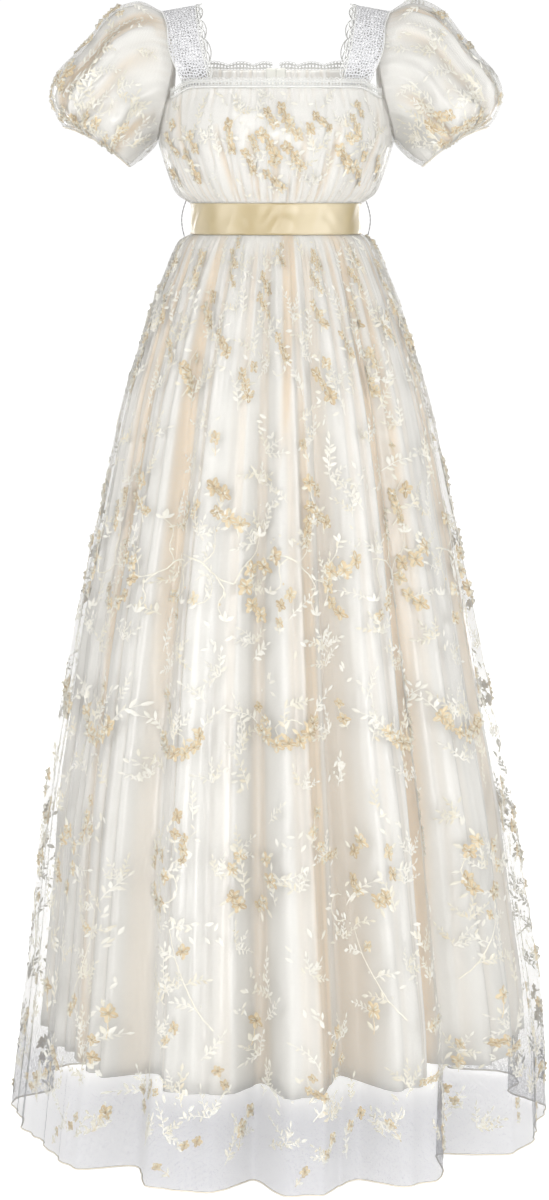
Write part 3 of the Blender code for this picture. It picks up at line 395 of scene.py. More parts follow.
def flutes(angle, drop):
    wander = FLUTE_WANDER * np.sin(FLUTE_WANDER_PITCH * drop + 2 * np.radians(angle))
    wave = np.tanh(FLUTE_SHARPNESS * waves(angle, FLUTES, wander))
    return flute_depth(drop) * wave * np.clip(drop / SEAM_FADE, 0, 1)


def skirt_painted_shade(angle, drop):
    """How much painted shade the satin takes, from how deep in a fold it lies and from the painted bands:
    from 0 on a ridge to 1 far inside.
    """
    z = SKIRT_TOP - drop
    bands = crease_height(PAINTED_SHADE_BANDS, angle, drop, degree_length(SKIRT_SECTIONS, angle, z))
    valley = fold_valley(angle, z, "satin_depth") / FOLD_FULL_SHADE_DEPTH
    pipes = -flutes(angle, drop) / flute_depth(drop)
    pipe_share = PIPE_SHADE_SHARE + PIPE_SHADE_AT_TOP * np.exp(-drop / PIPE_SHADE_FADE)
    return smooth(np.clip(BAND_SHADE_SHARE * bands + FOLD_SHADE_SHARE * valley + pipe_share * pipes, 0, 1))


def beyond_satin(angle, drop):
    """Near 1 where the net hangs below the satin's hem, and less at the sides; there the net gets its
    painted shade and thicker threads.
    """
    facing = np.abs(np.cos(np.radians(angle)))
    below = np.clip((drop - SATIN_LENGTH + BARE_START) / BARE_FADE, 0, 1)
    return below * (BARE_AT_SIDES + (1.0 - BARE_AT_SIDES) * facing)


def skirt(angle, drop, layer, pitch, crease_share, flute_share, air=0.0):
    """A layer of the skirt with its gathers, folds, creases and pipes."""
    z = SKIRT_TOP - drop
    metres = degree_length(SKIRT_SECTIONS, angle, z)
    radius = section_radius(SKIRT_SECTIONS, angle, z) - air * by_height(SKIRT_GATHERS, "air", z)
    radius = radius - by_height(SKIRT_GATHERS, layer, z) * gather_wave(angle / pitch)
    radius = radius - fold_valley(angle, z, layer) + fine_gathers(angle, drop)
    radius = radius + crease_share * crease_height(SKIRT_CREASES, angle, drop, metres)
    radius = radius + flute_share * flutes(angle, drop)
    return at_angle(angle, radius, z, by_height(SKIRT_SECTIONS, "sway", z))


def overskirt(angle, drop):
    return skirt(angle, drop, "net_depth", SKIRT_NET_PITCH, NET_CREASE_SHARE, NET_FLUTE_SHARE)


def underskirt(angle, drop):
    return skirt(angle, drop, "satin_depth", SKIRT_SATIN_PITCH, 1.0, 1.0, 1.0)


def armhole_height(y):
    centre = (ARMHOLE_TOP + ARMHOLE_BOTTOM) / 2
    half_height = (ARMHOLE_TOP - ARMHOLE_BOTTOM) / 2
    share = np.clip(np.abs(y) / ARMHOLE_HALF_DEPTH, 0, 1)
    return centre - half_height * np.sqrt(1.0 - share ** 2)


def neck_height(angle):
    away = np.abs(around(angle, 0.0))
    dip = np.clip((away - NECK_DIP_FROM) / NECK_DIP_WIDTH, 0, 1)
    return np.where(away > 90.0, NECK_BACK, NECK_FRONT - NECK_FRONT_DIP * smooth(dip))


def bodice_top(angle):
    """Height of the bodice's upper edge: the neckline, or the armhole where it cuts lower."""
    angle = np.asarray(angle, float)
    z = np.full(angle.shape, ARMHOLE_BOTTOM)
    for step in range(EDGE_PASSES):
        y = -section_radius(BODICE_SECTIONS, angle, z) * np.cos(np.radians(angle))
        lower = np.minimum(armhole_height(y), neck_height(angle))
        edge = np.where(np.abs(y) >= ARMHOLE_HALF_DEPTH, neck_height(angle), lower)
        z = (z + edge) / 2 if step < EDGE_PASSES - 1 else edge
    return z


def bodice_height(angle, share):
    return bodice_top(angle) * (1.0 - share) + BODICE_BOTTOM * share


def bodice_net_ease(z):
    gather = by_height(BODICE_GATHERS, "net_depth", z)
    return NET_WALL + gather + by_height(BODICE_GATHERS, "air", z)


def bodice_gathers(angle, share):
    """Small gathers that run up from the waist seam and fade out, and faint ones under the neck."""
    low = np.clip((share - BODICE_GATHER_REACH) / BODICE_GATHER_GROWN, 0, 1) ** BODICE_GATHER_POWER
    high = NECK_GATHER_SHARE * np.clip(1.0 - share / BODICE_GATHER_REACH, 0, 1)
    end = np.clip((1.0 - share) / WAIST_SEAM_FADE, WAIST_SEAM_LEAST, 1)
    return BODICE_GATHER_DEPTH * waves(angle, BODICE_WAVES) * (low + high) * end


def bodice_lift(angle, share, radius):
    """How far the creases and gathers lift the bodice's cloth."""
    creases = crease_height(BODICE_CREASES, angle, share, radius * math.pi / 180)
    return BODICE_CREASE_SHARE * creases + bodice_gathers(angle, share)


def bodice_satin(angle, share):
    z = bodice_height(angle, share)
    radius = section_radius(BODICE_SECTIONS, angle, z)
    lift = np.minimum(bodice_lift(angle, share, radius), BODICE_SATIN_RISE)
    return at_angle(angle, radius + lift, z)


# Painted shade: the bodice's satin is coloured darker and warmer in the troughs of its creases and gathers
def bodice_painted_shade(angle, share):
    radius = section_radius(BODICE_SECTIONS, angle, bodice_height(angle, share))
    return np.clip(-bodice_lift(angle, share, radius) / BODICE_SHADE_DEPTH, 0, BODICE_SHADE_MOST)


def bodice_net(angle, share):
    z = bodice_height(angle, share)
    radius = section_radius(BODICE_SECTIONS, angle, z, bodice_net_ease(z))
    radius = radius - by_height(BODICE_GATHERS, "net_depth", z) * gather_wave(angle / BODICE_PITCH)
    lift = np.maximum(bodice_lift(angle, share, radius), -BODICE_NET_SINK)
    return at_angle(angle, radius + lift, z)


def sleeve_point(turn, ring, inset):
    """Point on the sleeve at +X; turn 0 is the top of a ring and 90 its back."""
    round_it = np.radians(turn)
    top_x = by_ring("top_x", ring)
    top_z = by_ring("top_z", ring)
    low_x = by_ring("low_x", ring)
    low_z = by_ring("low_z", ring)
    half_length = np.hypot(top_x - low_x, top_z - low_z) / 2
    reach = np.cos(round_it) * (half_length - inset) / half_length / 2
    y = (by_ring("half_depth", ring) - inset) * np.sin(round_it)
    x = (top_x + low_x) / 2 + (top_x - low_x) * reach - by_ring("lean", ring) * np.sin(round_it) ** 2
    z = (top_z + low_z) / 2 + (top_z - low_z) * reach + by_ring("lift", ring) * np.sin(round_it) ** 2
    beside_bodice = bodice_side_x(y, z, bodice_net_ease(z)) + ARMHOLE_EASE
    return joined(np.maximum(x, beside_bodice), y, z)


def sleeve_creases(turn, ring):
    metres = by_ring("half_depth", ring) * math.pi / 180
    ends = 0.0
    for away, (fade, start, least) in ((ring, SLEEVE_GATHERS_TOP), (SLEEVE_END - ring, SLEEVE_GATHERS_CUFF)):
        ends = ends + np.exp(-away / fade) * np.clip(away / start, least, 1)
    fine = SLEEVE_FINE_DEPTH * waves(turn, SLEEVE_WAVES) * ends
    return crease_height(SLEEVE_CREASES, turn, ring, metres) - fine


def sleeve_net(turn, ring, shift=0.0):
    inset = by_ring("gather", ring) * gather_wave(turn * SLEEVE_NET_COLUMNS / 360.0)
    return sleeve_point(turn, ring, inset - sleeve_creases(turn + shift, ring))


def sleeve_satin(turn, ring, shift=0.0):
    gather = by_ring("gather", ring)
    inset = NET_WALL + gather + read_curve(range(len(SLEEVE_AIR)), SLEEVE_AIR, ring)
    inset = inset + gather * SLEEVE_SATIN_GATHER * gather_wave(turn % 360.0 / 360.0 * SLEEVE_SATIN_COLUMNS)
    return sleeve_point(turn, ring, inset - sleeve_creases(turn + shift, ring))


# Painted shade: the sleeve's satin is coloured darker and warmer in its bands and in the troughs of its
# creases
def sleeve_painted_shade(turn, ring, shift=0.0):
    metres = by_ring("half_depth", ring) * math.pi / 180
    bands = crease_height(SLEEVE_PAINTED_SHADE_BANDS, turn + shift, ring, metres)
    troughs = -sleeve_creases(turn + shift, ring) / SLEEVE_SHADE_DEPTH
    return np.clip(SLEEVE_BAND_SHADE_SHARE * bands + troughs, 0, 1)


def on_side(surface, sign):
    """A surface at +X, or its mirror image at -X."""
    if sign > 0:
        return surface
    return lambda place, down: surface(-place, down) * np.array([-1.0, 1.0, 1.0])


def amount_on_side(amount, sign):
    return lambda place, down: amount(sign * place, down)


def of_sleeve(form, sign):
    """One of the sleeve's forms for a side; the right sleeve's creases are turned round it."""
    return lambda turn, ring: form(turn, ring, 0.0 if sign > 0 else RIGHT_SLEEVE_SHIFT)


def range_on_side(start, end, sign):
    return (start, end) if sign > 0 else (-end, -start)


# Lace strap at +X: its neck edge and its sleeve edge, from the front tuck to the back tuck
STRAP_MIDDLE = [
    (0.085, -0.0895, -0.088, 0.1215, -0.0725, -0.088), (0.093, -0.077, -0.055, 0.133, -0.06, -0.058),
    (0.099, -0.048, -0.019, 0.1365, -0.037, -0.025), (0.1008, 0, 0, 0.1427, 0, -0.0075),
    (0.0985, 0.043, -0.018, 0.1365, 0.036, -0.025), (0.0925, 0.064, -0.042, 0.1345, 0.049, -0.047),
    (0.089, 0.072, -0.063, 0.129, 0.053, -0.064),
]
STRAP_FRONT_X = (0.0825, 0.115)
STRAP_BACK_X = (0.087, 0.1255)
STRAP_TUCK = 0.01
STRAP_BEHIND = 0.001
STRAP_CLEAR_HEIGHT = 0.003
STRAP_PLAIN = 0.02
LOOP_COUNT = 8
LOOP_REACH = 0.0062
LOOP_ROUNDNESS = 0.7
LOOP_FOOT = 0.0012
LOOP_RADIUS = 0.0007
STRAP_EDGE_RADIUS = 0.0006
INNER_LOOP = 0.45


def tucked_row(face, neck_x, arm_x, z):
    """Where the strap lies against the inside of the bodice at one height."""
    behind = -(SATIN_WALL + STRAP_BEHIND)
    neck_y = float(bodice_depth(face, neck_x, z, behind - STRAP_BEHIND / 2))
    arm_y = float(bodice_depth(face, arm_x, z, behind))
    return (neck_x, neck_y, z, arm_x, arm_y, z)


STRAP_ROWS = np.array([
    tucked_row("front", *STRAP_FRONT_X, NECK_FRONT - STRAP_TUCK),
    tucked_row("front", *STRAP_FRONT_X, NECK_FRONT + STRAP_CLEAR_HEIGHT),
    *STRAP_MIDDLE,
    tucked_row("back", *STRAP_BACK_X, NECK_BACK + STRAP_CLEAR_HEIGHT),
    tucked_row("back", *STRAP_BACK_X, NECK_BACK - STRAP_TUCK),
])
STRAP_STEPS = np.linalg.norm(np.diff((STRAP_ROWS[:, :3] + STRAP_ROWS[:, 3:]) / 2, axis=0), axis=1)
STRAP_ALONG = np.concatenate([[0.0], np.cumsum(STRAP_STEPS)])
STRAP_LENGTH = STRAP_ALONG[-1]
LOOP_PITCH = (STRAP_LENGTH - 2 * STRAP_PLAIN) / LOOP_COUNT


def strap(across, share):
    """Across is 0 at the sleeve edge and 1 at the neck edge."""
    edges = [read_curve(STRAP_ALONG, STRAP_ROWS[:, n], share * STRAP_LENGTH) for n in range(6)]
    arm = joined(*edges[3:])
    return arm + (joined(*edges[:3]) - arm) * np.asarray(across)[..., None]


PIPING_RADIUS = 0.0012
LACE_HEIGHT = 0.0095
BAND_START = 0.36
BACK_LACE_HEIGHT = 0.005
BACK_SCALLOP = 0.0042
BACK_SCALLOP_PITCH = 0.028
PICOT_RADIUS = 0.00042
PICOT_PITCH = 3.2
PICOT_ROUNDNESS = 0.6
BACK_PICOT_RADIUS = 0.0004
BACK_PICOT_REACH = 0.0014
BACK_PICOT_PITCH = 2.6


def neck_end_angle(y, z):
    return math.degrees(math.atan2(float(bodice_side_x(y, z)), -y))


def piping_line(angle):
    z = bodice_top(angle) + SEAM_GAP + PIPING_RADIUS
    return at_angle(angle, section_radius(BODICE_SECTIONS, angle, z, PIPING_RADIUS / 4), z)


def neck_lace(angle, share):
    """Front neck lace from its free edge down to its sewn edge on the piping."""
    edge = bodice_top(angle)
    z = edge + 2 * (SEAM_GAP + PIPING_RADIUS) + LACE_HEIGHT * (1.0 - share)
    return at_angle(angle, section_radius(BODICE_SECTIONS, angle, edge, PIPING_RADIUS / 2), z)


def back_neck_lace(angle, share):
    """Back neck lace with a scalloped free edge."""
    scallops = np.radians(angle - 180.0) * BODICE_SECTIONS[0].back / BACK_SCALLOP_PITCH
    wave = np.abs(np.sin(math.pi * scallops))
    z = NECK_BACK + SEAM_GAP + (BACK_LACE_HEIGHT + BACK_SCALLOP * wave) * (1.0 - share)
    return at_angle(angle, section_radius(BODICE_SECTIONS, angle, NECK_BACK), z)


SASH_WALL = 0.001
RIBBON_WALL = 0.0007
WRINKLE_HEIGHT = 0.0007
FLUTTER_HEIGHT = 0.0005
FLUTTER_AT_EDGES = 0.4
SASH_LAP_ANGLE = 200.0
SASH_LAP_LENGTH = 24.0
BACK_OPENING = math.degrees(math.atan(ZIP_GAP_HALF / BODICE_SECTIONS[-1].back))


def waistband(angle, share):
    z = SASH_TOP + (SASH_BOTTOM + SEAM_GAP - SASH_TOP) * share
    return at_angle(angle, section_radius(BODICE_SECTIONS, angle, z), z)


def sash(angle, share):
    """The ribbon runs once round, with soft wrinkles, and laps over its beginning."""
    z = SASH_TOP + (SASH_BOTTOM - SASH_TOP) * share
    over = np.clip((angle - (SASH_LAP_ANGLE - 2 * SASH_LAP_LENGTH)) / SASH_LAP_LENGTH, 0, 1)
    out = SEAM_GAP + SASH_WALL + (SASH_WALL + 2 * SEAM_GAP) * over
    turn = np.radians(angle)
    wrinkle = 0.5 + 0.5 * np.sin(9 * share + 3 * np.sin(5 * turn) + 2 * np.sin(11 * turn + 1))
    flutter = 0.5 + 0.5 * np.sin(23 * turn + 4 * share)
    middle = np.sin(math.pi * share)
    lift = WRINKLE_HEIGHT * wrinkle * middle + FLUTTER_HEIGHT * flutter * (FLUTTER_AT_EDGES + middle)
    return at_angle(angle, section_radius(BODICE_SECTIONS, angle, z, out) + lift, z)


def ribbon_shade(angle, share):
    """Painted shade: where the ribbon is coloured darker between its shiny places."""
    metres = degree_length(BODICE_SECTIONS, angle, SASH_TOP)
    return np.clip(crease_height(RIBBON_SHADE_BANDS, angle, share, metres), 0, 1)


ZIP_TOP = -0.0745
ZIP_BOTTOM = -0.2858
COIL_TOP = -0.0905
COIL_WIDTH = 0.005
COIL_THICKNESS = 0.0014
COIL_TURNS = 130
COIL_POINTS = 10
COIL_THREAD = 0.00028
COIL_REACH = COIL_WIDTH / 4 - 0.0002
COIL_RISE = COIL_THICKNESS / 2 - 0.00025
COIL_GAP_HALF = 0.0001
TAPE_WIDTH = 0.0122
TAPE_WALL = 0.0008
TAPE_EASE = 0.0002
TAPE_DEPTH = SATIN_WALL + SEAM_GAP + TAPE_EASE


def zip_tape(across, share):
    """The tape at +X; across is 0 at its outer edge and 1 at the middle."""
    z = ZIP_TOP + (ZIP_BOTTOM - ZIP_TOP) * share
    x = TAPE_WIDTH + SEAM_GAP / 2 - TAPE_WIDTH * across
    return joined(x, bodice_depth("back", x, z) - TAPE_DEPTH, z)


# ---------------------------------------------------------------- making the pieces

def link(name, mesh, material):
    item = bpy.data.objects.new(name, mesh)
    bpy.context.collection.objects.link(item)
    mesh.materials.append(material)
    mesh.polygons.foreach_set("use_smooth", np.ones(len(mesh.polygons), bool))
    return item


def unrolled(points):
    """Lay a grid of points flat, in metres: along each row from its middle, and down."""
    steps = np.linalg.norm(np.diff(points, axis=1), axis=2)
    along = np.pad(np.cumsum(steps, axis=1), ((0, 0), (1, 0)))
    along -= along[:, -1:] / 2
    drops = np.linalg.norm(np.diff(points, axis=0), axis=2).mean(axis=1)
    down = np.pad(np.cumsum(drops), (1, 0))
    return np.stack([along, 0 * along - down[:, None]], axis=-1)


def store_map(mesh, name, flat_places):
    """Store a flat place for every point of a mesh as its map."""
    corners = np.empty(len(mesh.loops), dtype=int)
    mesh.loops.foreach_get("vertex_index", corners)
    mesh.uv_layers.new(name=name).data.foreach_set("uv", flat_places[corners].ravel())


def store_amount(mesh, label, amounts):
    mesh.attributes.new(label, "FLOAT", "POINT").data.foreach_set("value", amounts)


def cloth(name, surface, across, down, cells, material, crowd=1.0, wall=0.0, label="", amount=None):
    """A thin shell: a grid laid onto a surface between two places across and two down it.

    crowd above 1 puts the rows closer together near the top.  amount is stored for the
    finish under its label.
    """
    sheet = bmesh.new()
    bmesh.ops.create_grid(sheet, x_segments=cells[0], y_segments=cells[1], size=0.5)
    mesh = bpy.data.meshes.new(name)
    sheet.to_mesh(mesh)
    sheet.free()
    flat = np.empty(len(mesh.vertices) * 3)
    mesh.vertices.foreach_get("co", flat)
    flat = flat.reshape(-1, 3)
    column = np.rint((flat[:, 0] + 0.5) * cells[0]).astype(int)
    row = np.rint((0.5 - flat[:, 1]) * cells[1]).astype(int)
    places = np.linspace(across[0], across[1], cells[0] + 1)[None, :]
    drops = (down[0] + (down[1] - down[0]) * np.linspace(0, 1, cells[1] + 1) ** crowd)[:, None]
    points = surface(places, drops)
    mesh.vertices.foreach_set("co", points[row, column].ravel())
    store_map(mesh, "cloth", unrolled(points)[row, column])
    if amount:
        store_amount(mesh, label, amount(places, drops)[row, column])
    mesh.update()
    item = link(name, mesh, material)
    if wall:
        thickness = item.modifiers.new("wall", "SOLIDIFY")
        thickness.thickness = wall
        thickness.offset = -1.0
    return item


def tube(name, lines, radius, material, sides=1):
    """Round threads along one or more lines of points, as one mesh."""
    curve = bpy.data.curves.new(name, "CURVE")
    curve.dimensions = "3D"
    curve.bevel_depth = radius
    curve.bevel_resolution = sides
    curve.use_fill_caps = True
    for line in lines:
        spline = curve.splines.new("POLY")
        spline.points.add(len(line) - 1)
        padded = np.concatenate([line, np.ones((len(line), 1))], axis=1)
        spline.points.foreach_set("co", padded.ravel())
    holder = bpy.data.objects.new(name, curve)
    bpy.context.collection.objects.link(holder)
    bpy.context.view_layer.update()
    mesh = bpy.data.meshes.new_from_object(holder)
    bpy.data.objects.remove(holder)
    bpy.data.curves.remove(curve)
    mesh.name = name
    return link(name, mesh, material)


# ---------------------------------------------------------------- finishes

NUMBER = "NodeSocketFloat"
COLOUR = "NodeSocketColor"


def feed(node, inputs):
    """Set a node's inputs, each to another node's output, a colour or a number."""
    for label, value in inputs.items():
        socket = node.inputs[label]
        if isinstance(value, bpy.types.NodeSocket):
            node.id_data.links.new(value, socket)
        else:
            socket.default_value = (*value, 1.0) if isinstance(value, tuple) else value


def add(tree, kind, inputs=None, **traits):
    """Add a shader node with its traits and inputs, and give its outputs."""
    node = tree.nodes.new("ShaderNode" + kind)
    for trait, value in traits.items():
        setattr(node, trait, value)
    feed(node, inputs or {})
    return node.outputs


def new_group(name, numbers, colours, results):
    """A shader node group with number and colour inputs and the kind of each result."""
    group = bpy.data.node_groups.new(name, "ShaderNodeTree")
    for label, value in numbers.items():
        group.interface.new_socket(label, in_out="INPUT", socket_type=NUMBER).default_value = value
    for label in colours:
        group.interface.new_socket(label, in_out="INPUT", socket_type=COLOUR)
    for label, kind in results.items():
        group.interface.new_socket(label, in_out="OUTPUT", socket_type=kind)
    return group, group.nodes.new("NodeGroupInput").outputs, group.nodes.new("NodeGroupOutput")


def make_soft_variation():
    """A tone that drifts slowly over a cloth between a light and a dark colour."""
    group, given, results = new_group("soft_variation", {"Scale": 6.0}, ("Light", "Dark"),
                                      {"Color": COLOUR, "Value": NUMBER})
    place = add(group, "TexCoord")
    noise = add(group, "TexNoise", {"Detail": 3.0, "Vector": place["Object"], "Scale": given["Scale"]})
    mix = add(group, "Mix", {"Factor": noise["Fac"], "A": given["Light"], "B": given["Dark"]},
              data_type="RGBA")
    feed(results, {"Color": mix["Result"], "Value": noise["Fac"]})
    return group


def make_woven_threads():
    """Fine warp and weft threads on a cloth's own map, in threads a metre each way."""
    group, given, results = new_group("woven_threads", {"Warp": 2500.0, "Weft": 2500.0}, (),
                                      {"Height": NUMBER})
    split = add(group, "SeparateXYZ", {"Vector": add(group, "TexCoord")["UV"]})
    threads = []
    for axis, count in (("X", "Warp"), ("Y", "Weft")):
        scaled = add(group, "Math", {0: split[axis], 1: given[count]}, operation="MULTIPLY")
        threads.append(add(group, "Math", {0: scaled["Value"]}, operation="SINE")["Value"])
    product = add(group, "Math", {0: threads[0], 1: threads[1]}, operation="MULTIPLY")
    feed(results, {"Height": product["Value"]})
    return group


def make_thread_mesh():
    """Where the threads of a net or lace run: 1 on a thread and 0 in a hole."""
    group, given, results = new_group("thread_mesh", {"Cells": 700.0, "Uneven": 0.5, "Thread": 0.1},
                                      (), {"Mask": NUMBER})
    place = add(group, "TexCoord")
    cells = add(group, "TexVoronoi",
                {"Vector": place["UV"], "Scale": given["Cells"], "Randomness": given["Uneven"]},
                voronoi_dimensions="2D", feature="DISTANCE_TO_EDGE")
    below = add(group, "Math", {0: cells["Distance"], 1: given["Thread"]}, operation="LESS_THAN")
    feed(results, {"Mask": below["Value"]})
    return group


SOFT_VARIATION = make_soft_variation()
WOVEN_THREADS = make_woven_threads()
THREAD_MESH = make_thread_mesh()


def finish(name, roughness, metallic=0.0, sheen=0.0, specular=0.5):
    """A material with its plain shader numbers set on the shader itself."""
    material = bpy.data.materials.new(name)
    material.use_nodes = True
    shader = material.node_tree.nodes["Principled BSDF"]
    feed(shader, {"Roughness": roughness, "Metallic": metallic, "Sheen Weight": sheen,
                  "Specular IOR Level": specular})
    return material, material.node_tree, shader


def colour_cloth(tree, shader, light, dark, scale):
    tone = add(tree, "Group", {"Scale": scale, "Light": light, "Dark": dark}, node_tree=SOFT_VARIATION)
    feed(shader, {"Base Color": tone["Color"]})
    return tone


def emboss(tree, shader, height, strength, distance):
    bump = add(tree, "Bump", {"Strength": strength, "Distance": distance, "Height": height})
    feed(shader, {"Normal": bump["Normal"]})


def weave_bump(tree, shader, warp, weft, strength, distance):
    weave = add(tree, "Group", {"Warp": warp, "Weft": weft}, node_tree=WOVEN_THREADS)
    emboss(tree, shader, weave["Height"], strength, distance)
    return weave["Height"]


def retone(tree, shader, tone, amount, colour):
    """Turn a colour into another as far as an amount says."""
    mix = add(tree, "Mix", {"Factor": amount, "A": tone, "B": colour}, data_type="RGBA")
    feed(shader, {"Base Color": mix["Result"]})


def stored_amount(tree, label):
    return add(tree, "Attribute", attribute_name=label)["Fac"]


def make_satin(name, light, dark, roughness, painted_shade=None):
    """Satin: long threads float down the cloth, so the sheen is soft and streaky.

    The last colour, if given, is the warmer, darker colour painted deep in the folds as shade.
    """
    material, tree, shader = finish(name, roughness, sheen=0.1, specular=0.6)
    tone = colour_cloth(tree, shader, light, dark, scale=7.0)
    # Painted shade: the colour turns warmer and darker as far as the stored amount says
    if painted_shade:
        retone(tree, shader, tone["Color"], stored_amount(tree, "painted_shade"), painted_shade)
    weave_bump(tree, shader, warp=9000.0, weft=2600.0, strength=0.1, distance=0.0001)
    spread = add(tree, "MapRange", {"Value": tone["Value"], "To Min": roughness - 0.05,
                                    "To Max": roughness + 0.07})
    feed(shader, {"Roughness": spread["Result"]})
    return material


BARE_THREAD = 1.5


def make_open_cloth(name, light, dark, cells, uneven, thread, roughness, unlined_shade=None):
    """Net or lace: threads round open holes.  The last colour, if given, is a darker grey painted as shade
    where nothing is behind the net, and the threads grow thicker there.
    """
    material, tree, shader = finish(name, roughness, sheen=0.1, specular=0.4)
    tone = colour_cloth(tree, shader, light, dark, scale=9.0)
    weave_bump(tree, shader, warp=6000.0, weft=6000.0, strength=0.2, distance=0.0001)
    # Painted shade: the net turns a darker grey where nothing is behind it, and its threads grow thicker
    # there
    if unlined_shade:
        stored = stored_amount(tree, "unlined_shade")
        retone(tree, shader, tone["Color"], stored, unlined_shade)
        thread = add(tree, "MapRange", {"Value": stored, "To Min": thread,
                                        "To Max": thread * BARE_THREAD})["Result"]
    mask = add(tree, "Group", {"Cells": cells, "Uneven": uneven, "Thread": thread},
               node_tree=THREAD_MESH)
    feed(shader, {"Alpha": mask["Mask"]})
    return material


def make_thread(name, stops):
    """Embroidery thread: the tone attribute picks the colour, ridges follow the stitches, and the raised
    ridges get a painted highlight in a paler colour.
    """
    material, tree, shader = finish(name, 0.42, sheen=0.3)
    ramp = tree.nodes.new("ShaderNodeValToRGB")
    elements = ramp.color_ramp.elements
    for place, colour in stops[1:-1]:
        elements.new(place)
    for element, (place, colour) in zip(elements, stops):
        element.position = place
        element.color = (*colour, 1.0)
    feed(ramp, {"Fac": stored_amount(tree, "tone")})
    ridges = weave_bump(tree, shader, warp=5200.0, weft=2600.0, strength=0.6, distance=0.0003)
    # Painted highlight: the thread turns paler where its stitch ridges stand up
    ridge_highlight = add(tree, "MapRange", {"Value": ridges, "From Min": 0.1, "From Max": 0.6, "To Max": 0.55})
    retone(tree, shader, ramp.outputs["Color"], ridge_highlight["Result"], (0.84, 0.79, 0.67))
    return material


def make_metal():
    """Nickel-plated zip metal with a soft satin wear."""
    material, tree, shader = finish("zip_nickel", 0.32, metallic=1.0)
    tone = colour_cloth(tree, shader, (0.62, 0.6, 0.57), (0.5, 0.48, 0.45), scale=900.0)
    emboss(tree, shader, tone["Value"], strength=0.15, distance=0.0001)
    return material


# The satin's last colour is painted shade, put deep in its folds
SATIN = make_satin("ivory_satin", (0.79, 0.78, 0.75), (0.75, 0.735, 0.7), 0.22, (0.75, 0.595, 0.41))
# The net's last colour is painted shade, put where nothing is behind it
NET = make_open_cloth("embroidered_net", (0.62, 0.61, 0.58), (0.56, 0.55, 0.52), 700.0, 0.45, 0.1, 0.5,
                      (0.29, 0.29, 0.32))
LACE = make_open_cloth("white_lace", (0.6, 0.6, 0.61), (0.54, 0.54, 0.56), 250.0, 0.85, 0.2, 0.55)
EYELET_LACE = make_open_cloth("eyelet_lace", (0.54, 0.54, 0.52), (0.49, 0.49, 0.47), 230.0, 0.12, 0.23, 0.55)
COTTON_CORD = make_satin("white_cord", (0.68, 0.68, 0.66), (0.62, 0.62, 0.6), 0.5)
# The ribbon's last colour is painted shade, put between its shiny places
RIBBON = make_satin("gold_ribbon", (0.54, 0.47, 0.325), (0.5, 0.425, 0.285), 0.32, (0.34, 0.265, 0.13))
LOOP_THREAD = make_satin("loop_thread", (0.31, 0.31, 0.32), (0.26, 0.26, 0.27), 0.5)
TAPE = make_satin("zip_tape", (0.86, 0.86, 0.8), (0.8, 0.8, 0.74), 0.6)
COIL = make_satin("zip_coil", (0.8, 0.78, 0.72), (0.7, 0.68, 0.63), 0.35)
METAL = make_metal()
ROLLED_NET = make_satin("rolled_net_edge", (0.74, 0.69, 0.59), (0.68, 0.63, 0.53), 0.5)


# ---------------------------------------------------------------- sewing the gown

# Each CAD node that is flat cloth, with its piece and what is sewn onto that piece
SEWN = {}
SIDES = (("left", 1.0), ("right", -1.0))
SKIRT_PANELS = (("front", -90.0, 90.0), ("back_left", 90.0, 180.0), ("back_right", 180.0, 270.0))
BODICE_PANELS = (
    ("front", -90.0, 90.0),
    ("back_left", 90.0, 180.0 - BACK_OPENING),
    ("back_right", 180.0 + BACK_OPENING, 270.0),
)
WHOLE = (0.0, 1.0)
EDGE_POINTS = 161
PICOT_POINTS = 401
SKIRT_CROWD = 1.5
HEM_ROLL = 0.0011
# Degrees across a cell and rows of cells in each kind of panel
NET_GRID = (0.5, 96)
SATIN_GRID = (0.6, 76)
BODICE_GRID = (0.75, 40)
# Cells across and down each other piece
SLEEVE_GRID = (140, 60)
SLEEVE_SATIN_GRID = (120, 52)
STRAP_GRID = (12, 110)
NECK_LACE_GRID = (120, 6)
BACK_LACE_GRID = (80, 6)
WAISTBAND_GRID = (180, 6)
SASH_GRID = (384, 16)
TAPE_GRID = (8, 90)


def sew(item, finish_slot, *nodes):
    """A piece rides with the gown and stands for its CAD nodes, which it hides."""
    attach(item, "gown")
    if nodes:
        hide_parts(*nodes)
    return item


def sew_cloth(node, finish_slot, name, *form, **more):
    """Make a cloth piece that stands for a CAD node."""
    SEWN[node] = (sew(cloth(name, *form, **more), finish_slot, node), [])


def sew_onto(node, finish_slot, name, lines, radius, material):
    """Make thread or cord that is sewn onto the cloth of a node."""
    SEWN[node][1].append(sew(tube(name, lines, radius, material), finish_slot))


def sew_panel(panel, node, finish_slot, name, surface, down, grid, material, **more):
    side, start, end = panel
    columns = round((end - start) / grid[0])
    sew_cloth(node + side, finish_slot, name + side, surface, (start, end), down,
              (columns, grid[1]), material, **more)


def rolled_edge(node, name, surface, across, columns, down):
    edge = surface(np.linspace(*across, columns + 1), np.full(columns + 1, down))
    sew_onto(node, "net", name, [edge], HEM_ROLL, ROLLED_NET)


def make_overskirts():
    for panel in SKIRT_PANELS:
        sew_panel(panel, "overskirt_", "net", "net_overskirt_", overskirt, (0.0, NET_LENGTH),
                  NET_GRID, NET, crowd=SKIRT_CROWD, label="unlined_shade", amount=beyond_satin)
        side, start, end = panel
        rolled_edge("overskirt_" + side, "rolled_hem_" + side, overskirt, (start, end),
                    round((end - start) / NET_GRID[0]), NET_LENGTH)


def make_underskirts():
    for panel in SKIRT_PANELS:
        sew_panel(panel, "underskirt_", "satin", "satin_underskirt_", underskirt,
                  (0.0, SATIN_LENGTH), SATIN_GRID, SATIN, crowd=SKIRT_CROWD, wall=SATIN_WALL,
                  label="painted_shade", amount=skirt_painted_shade)


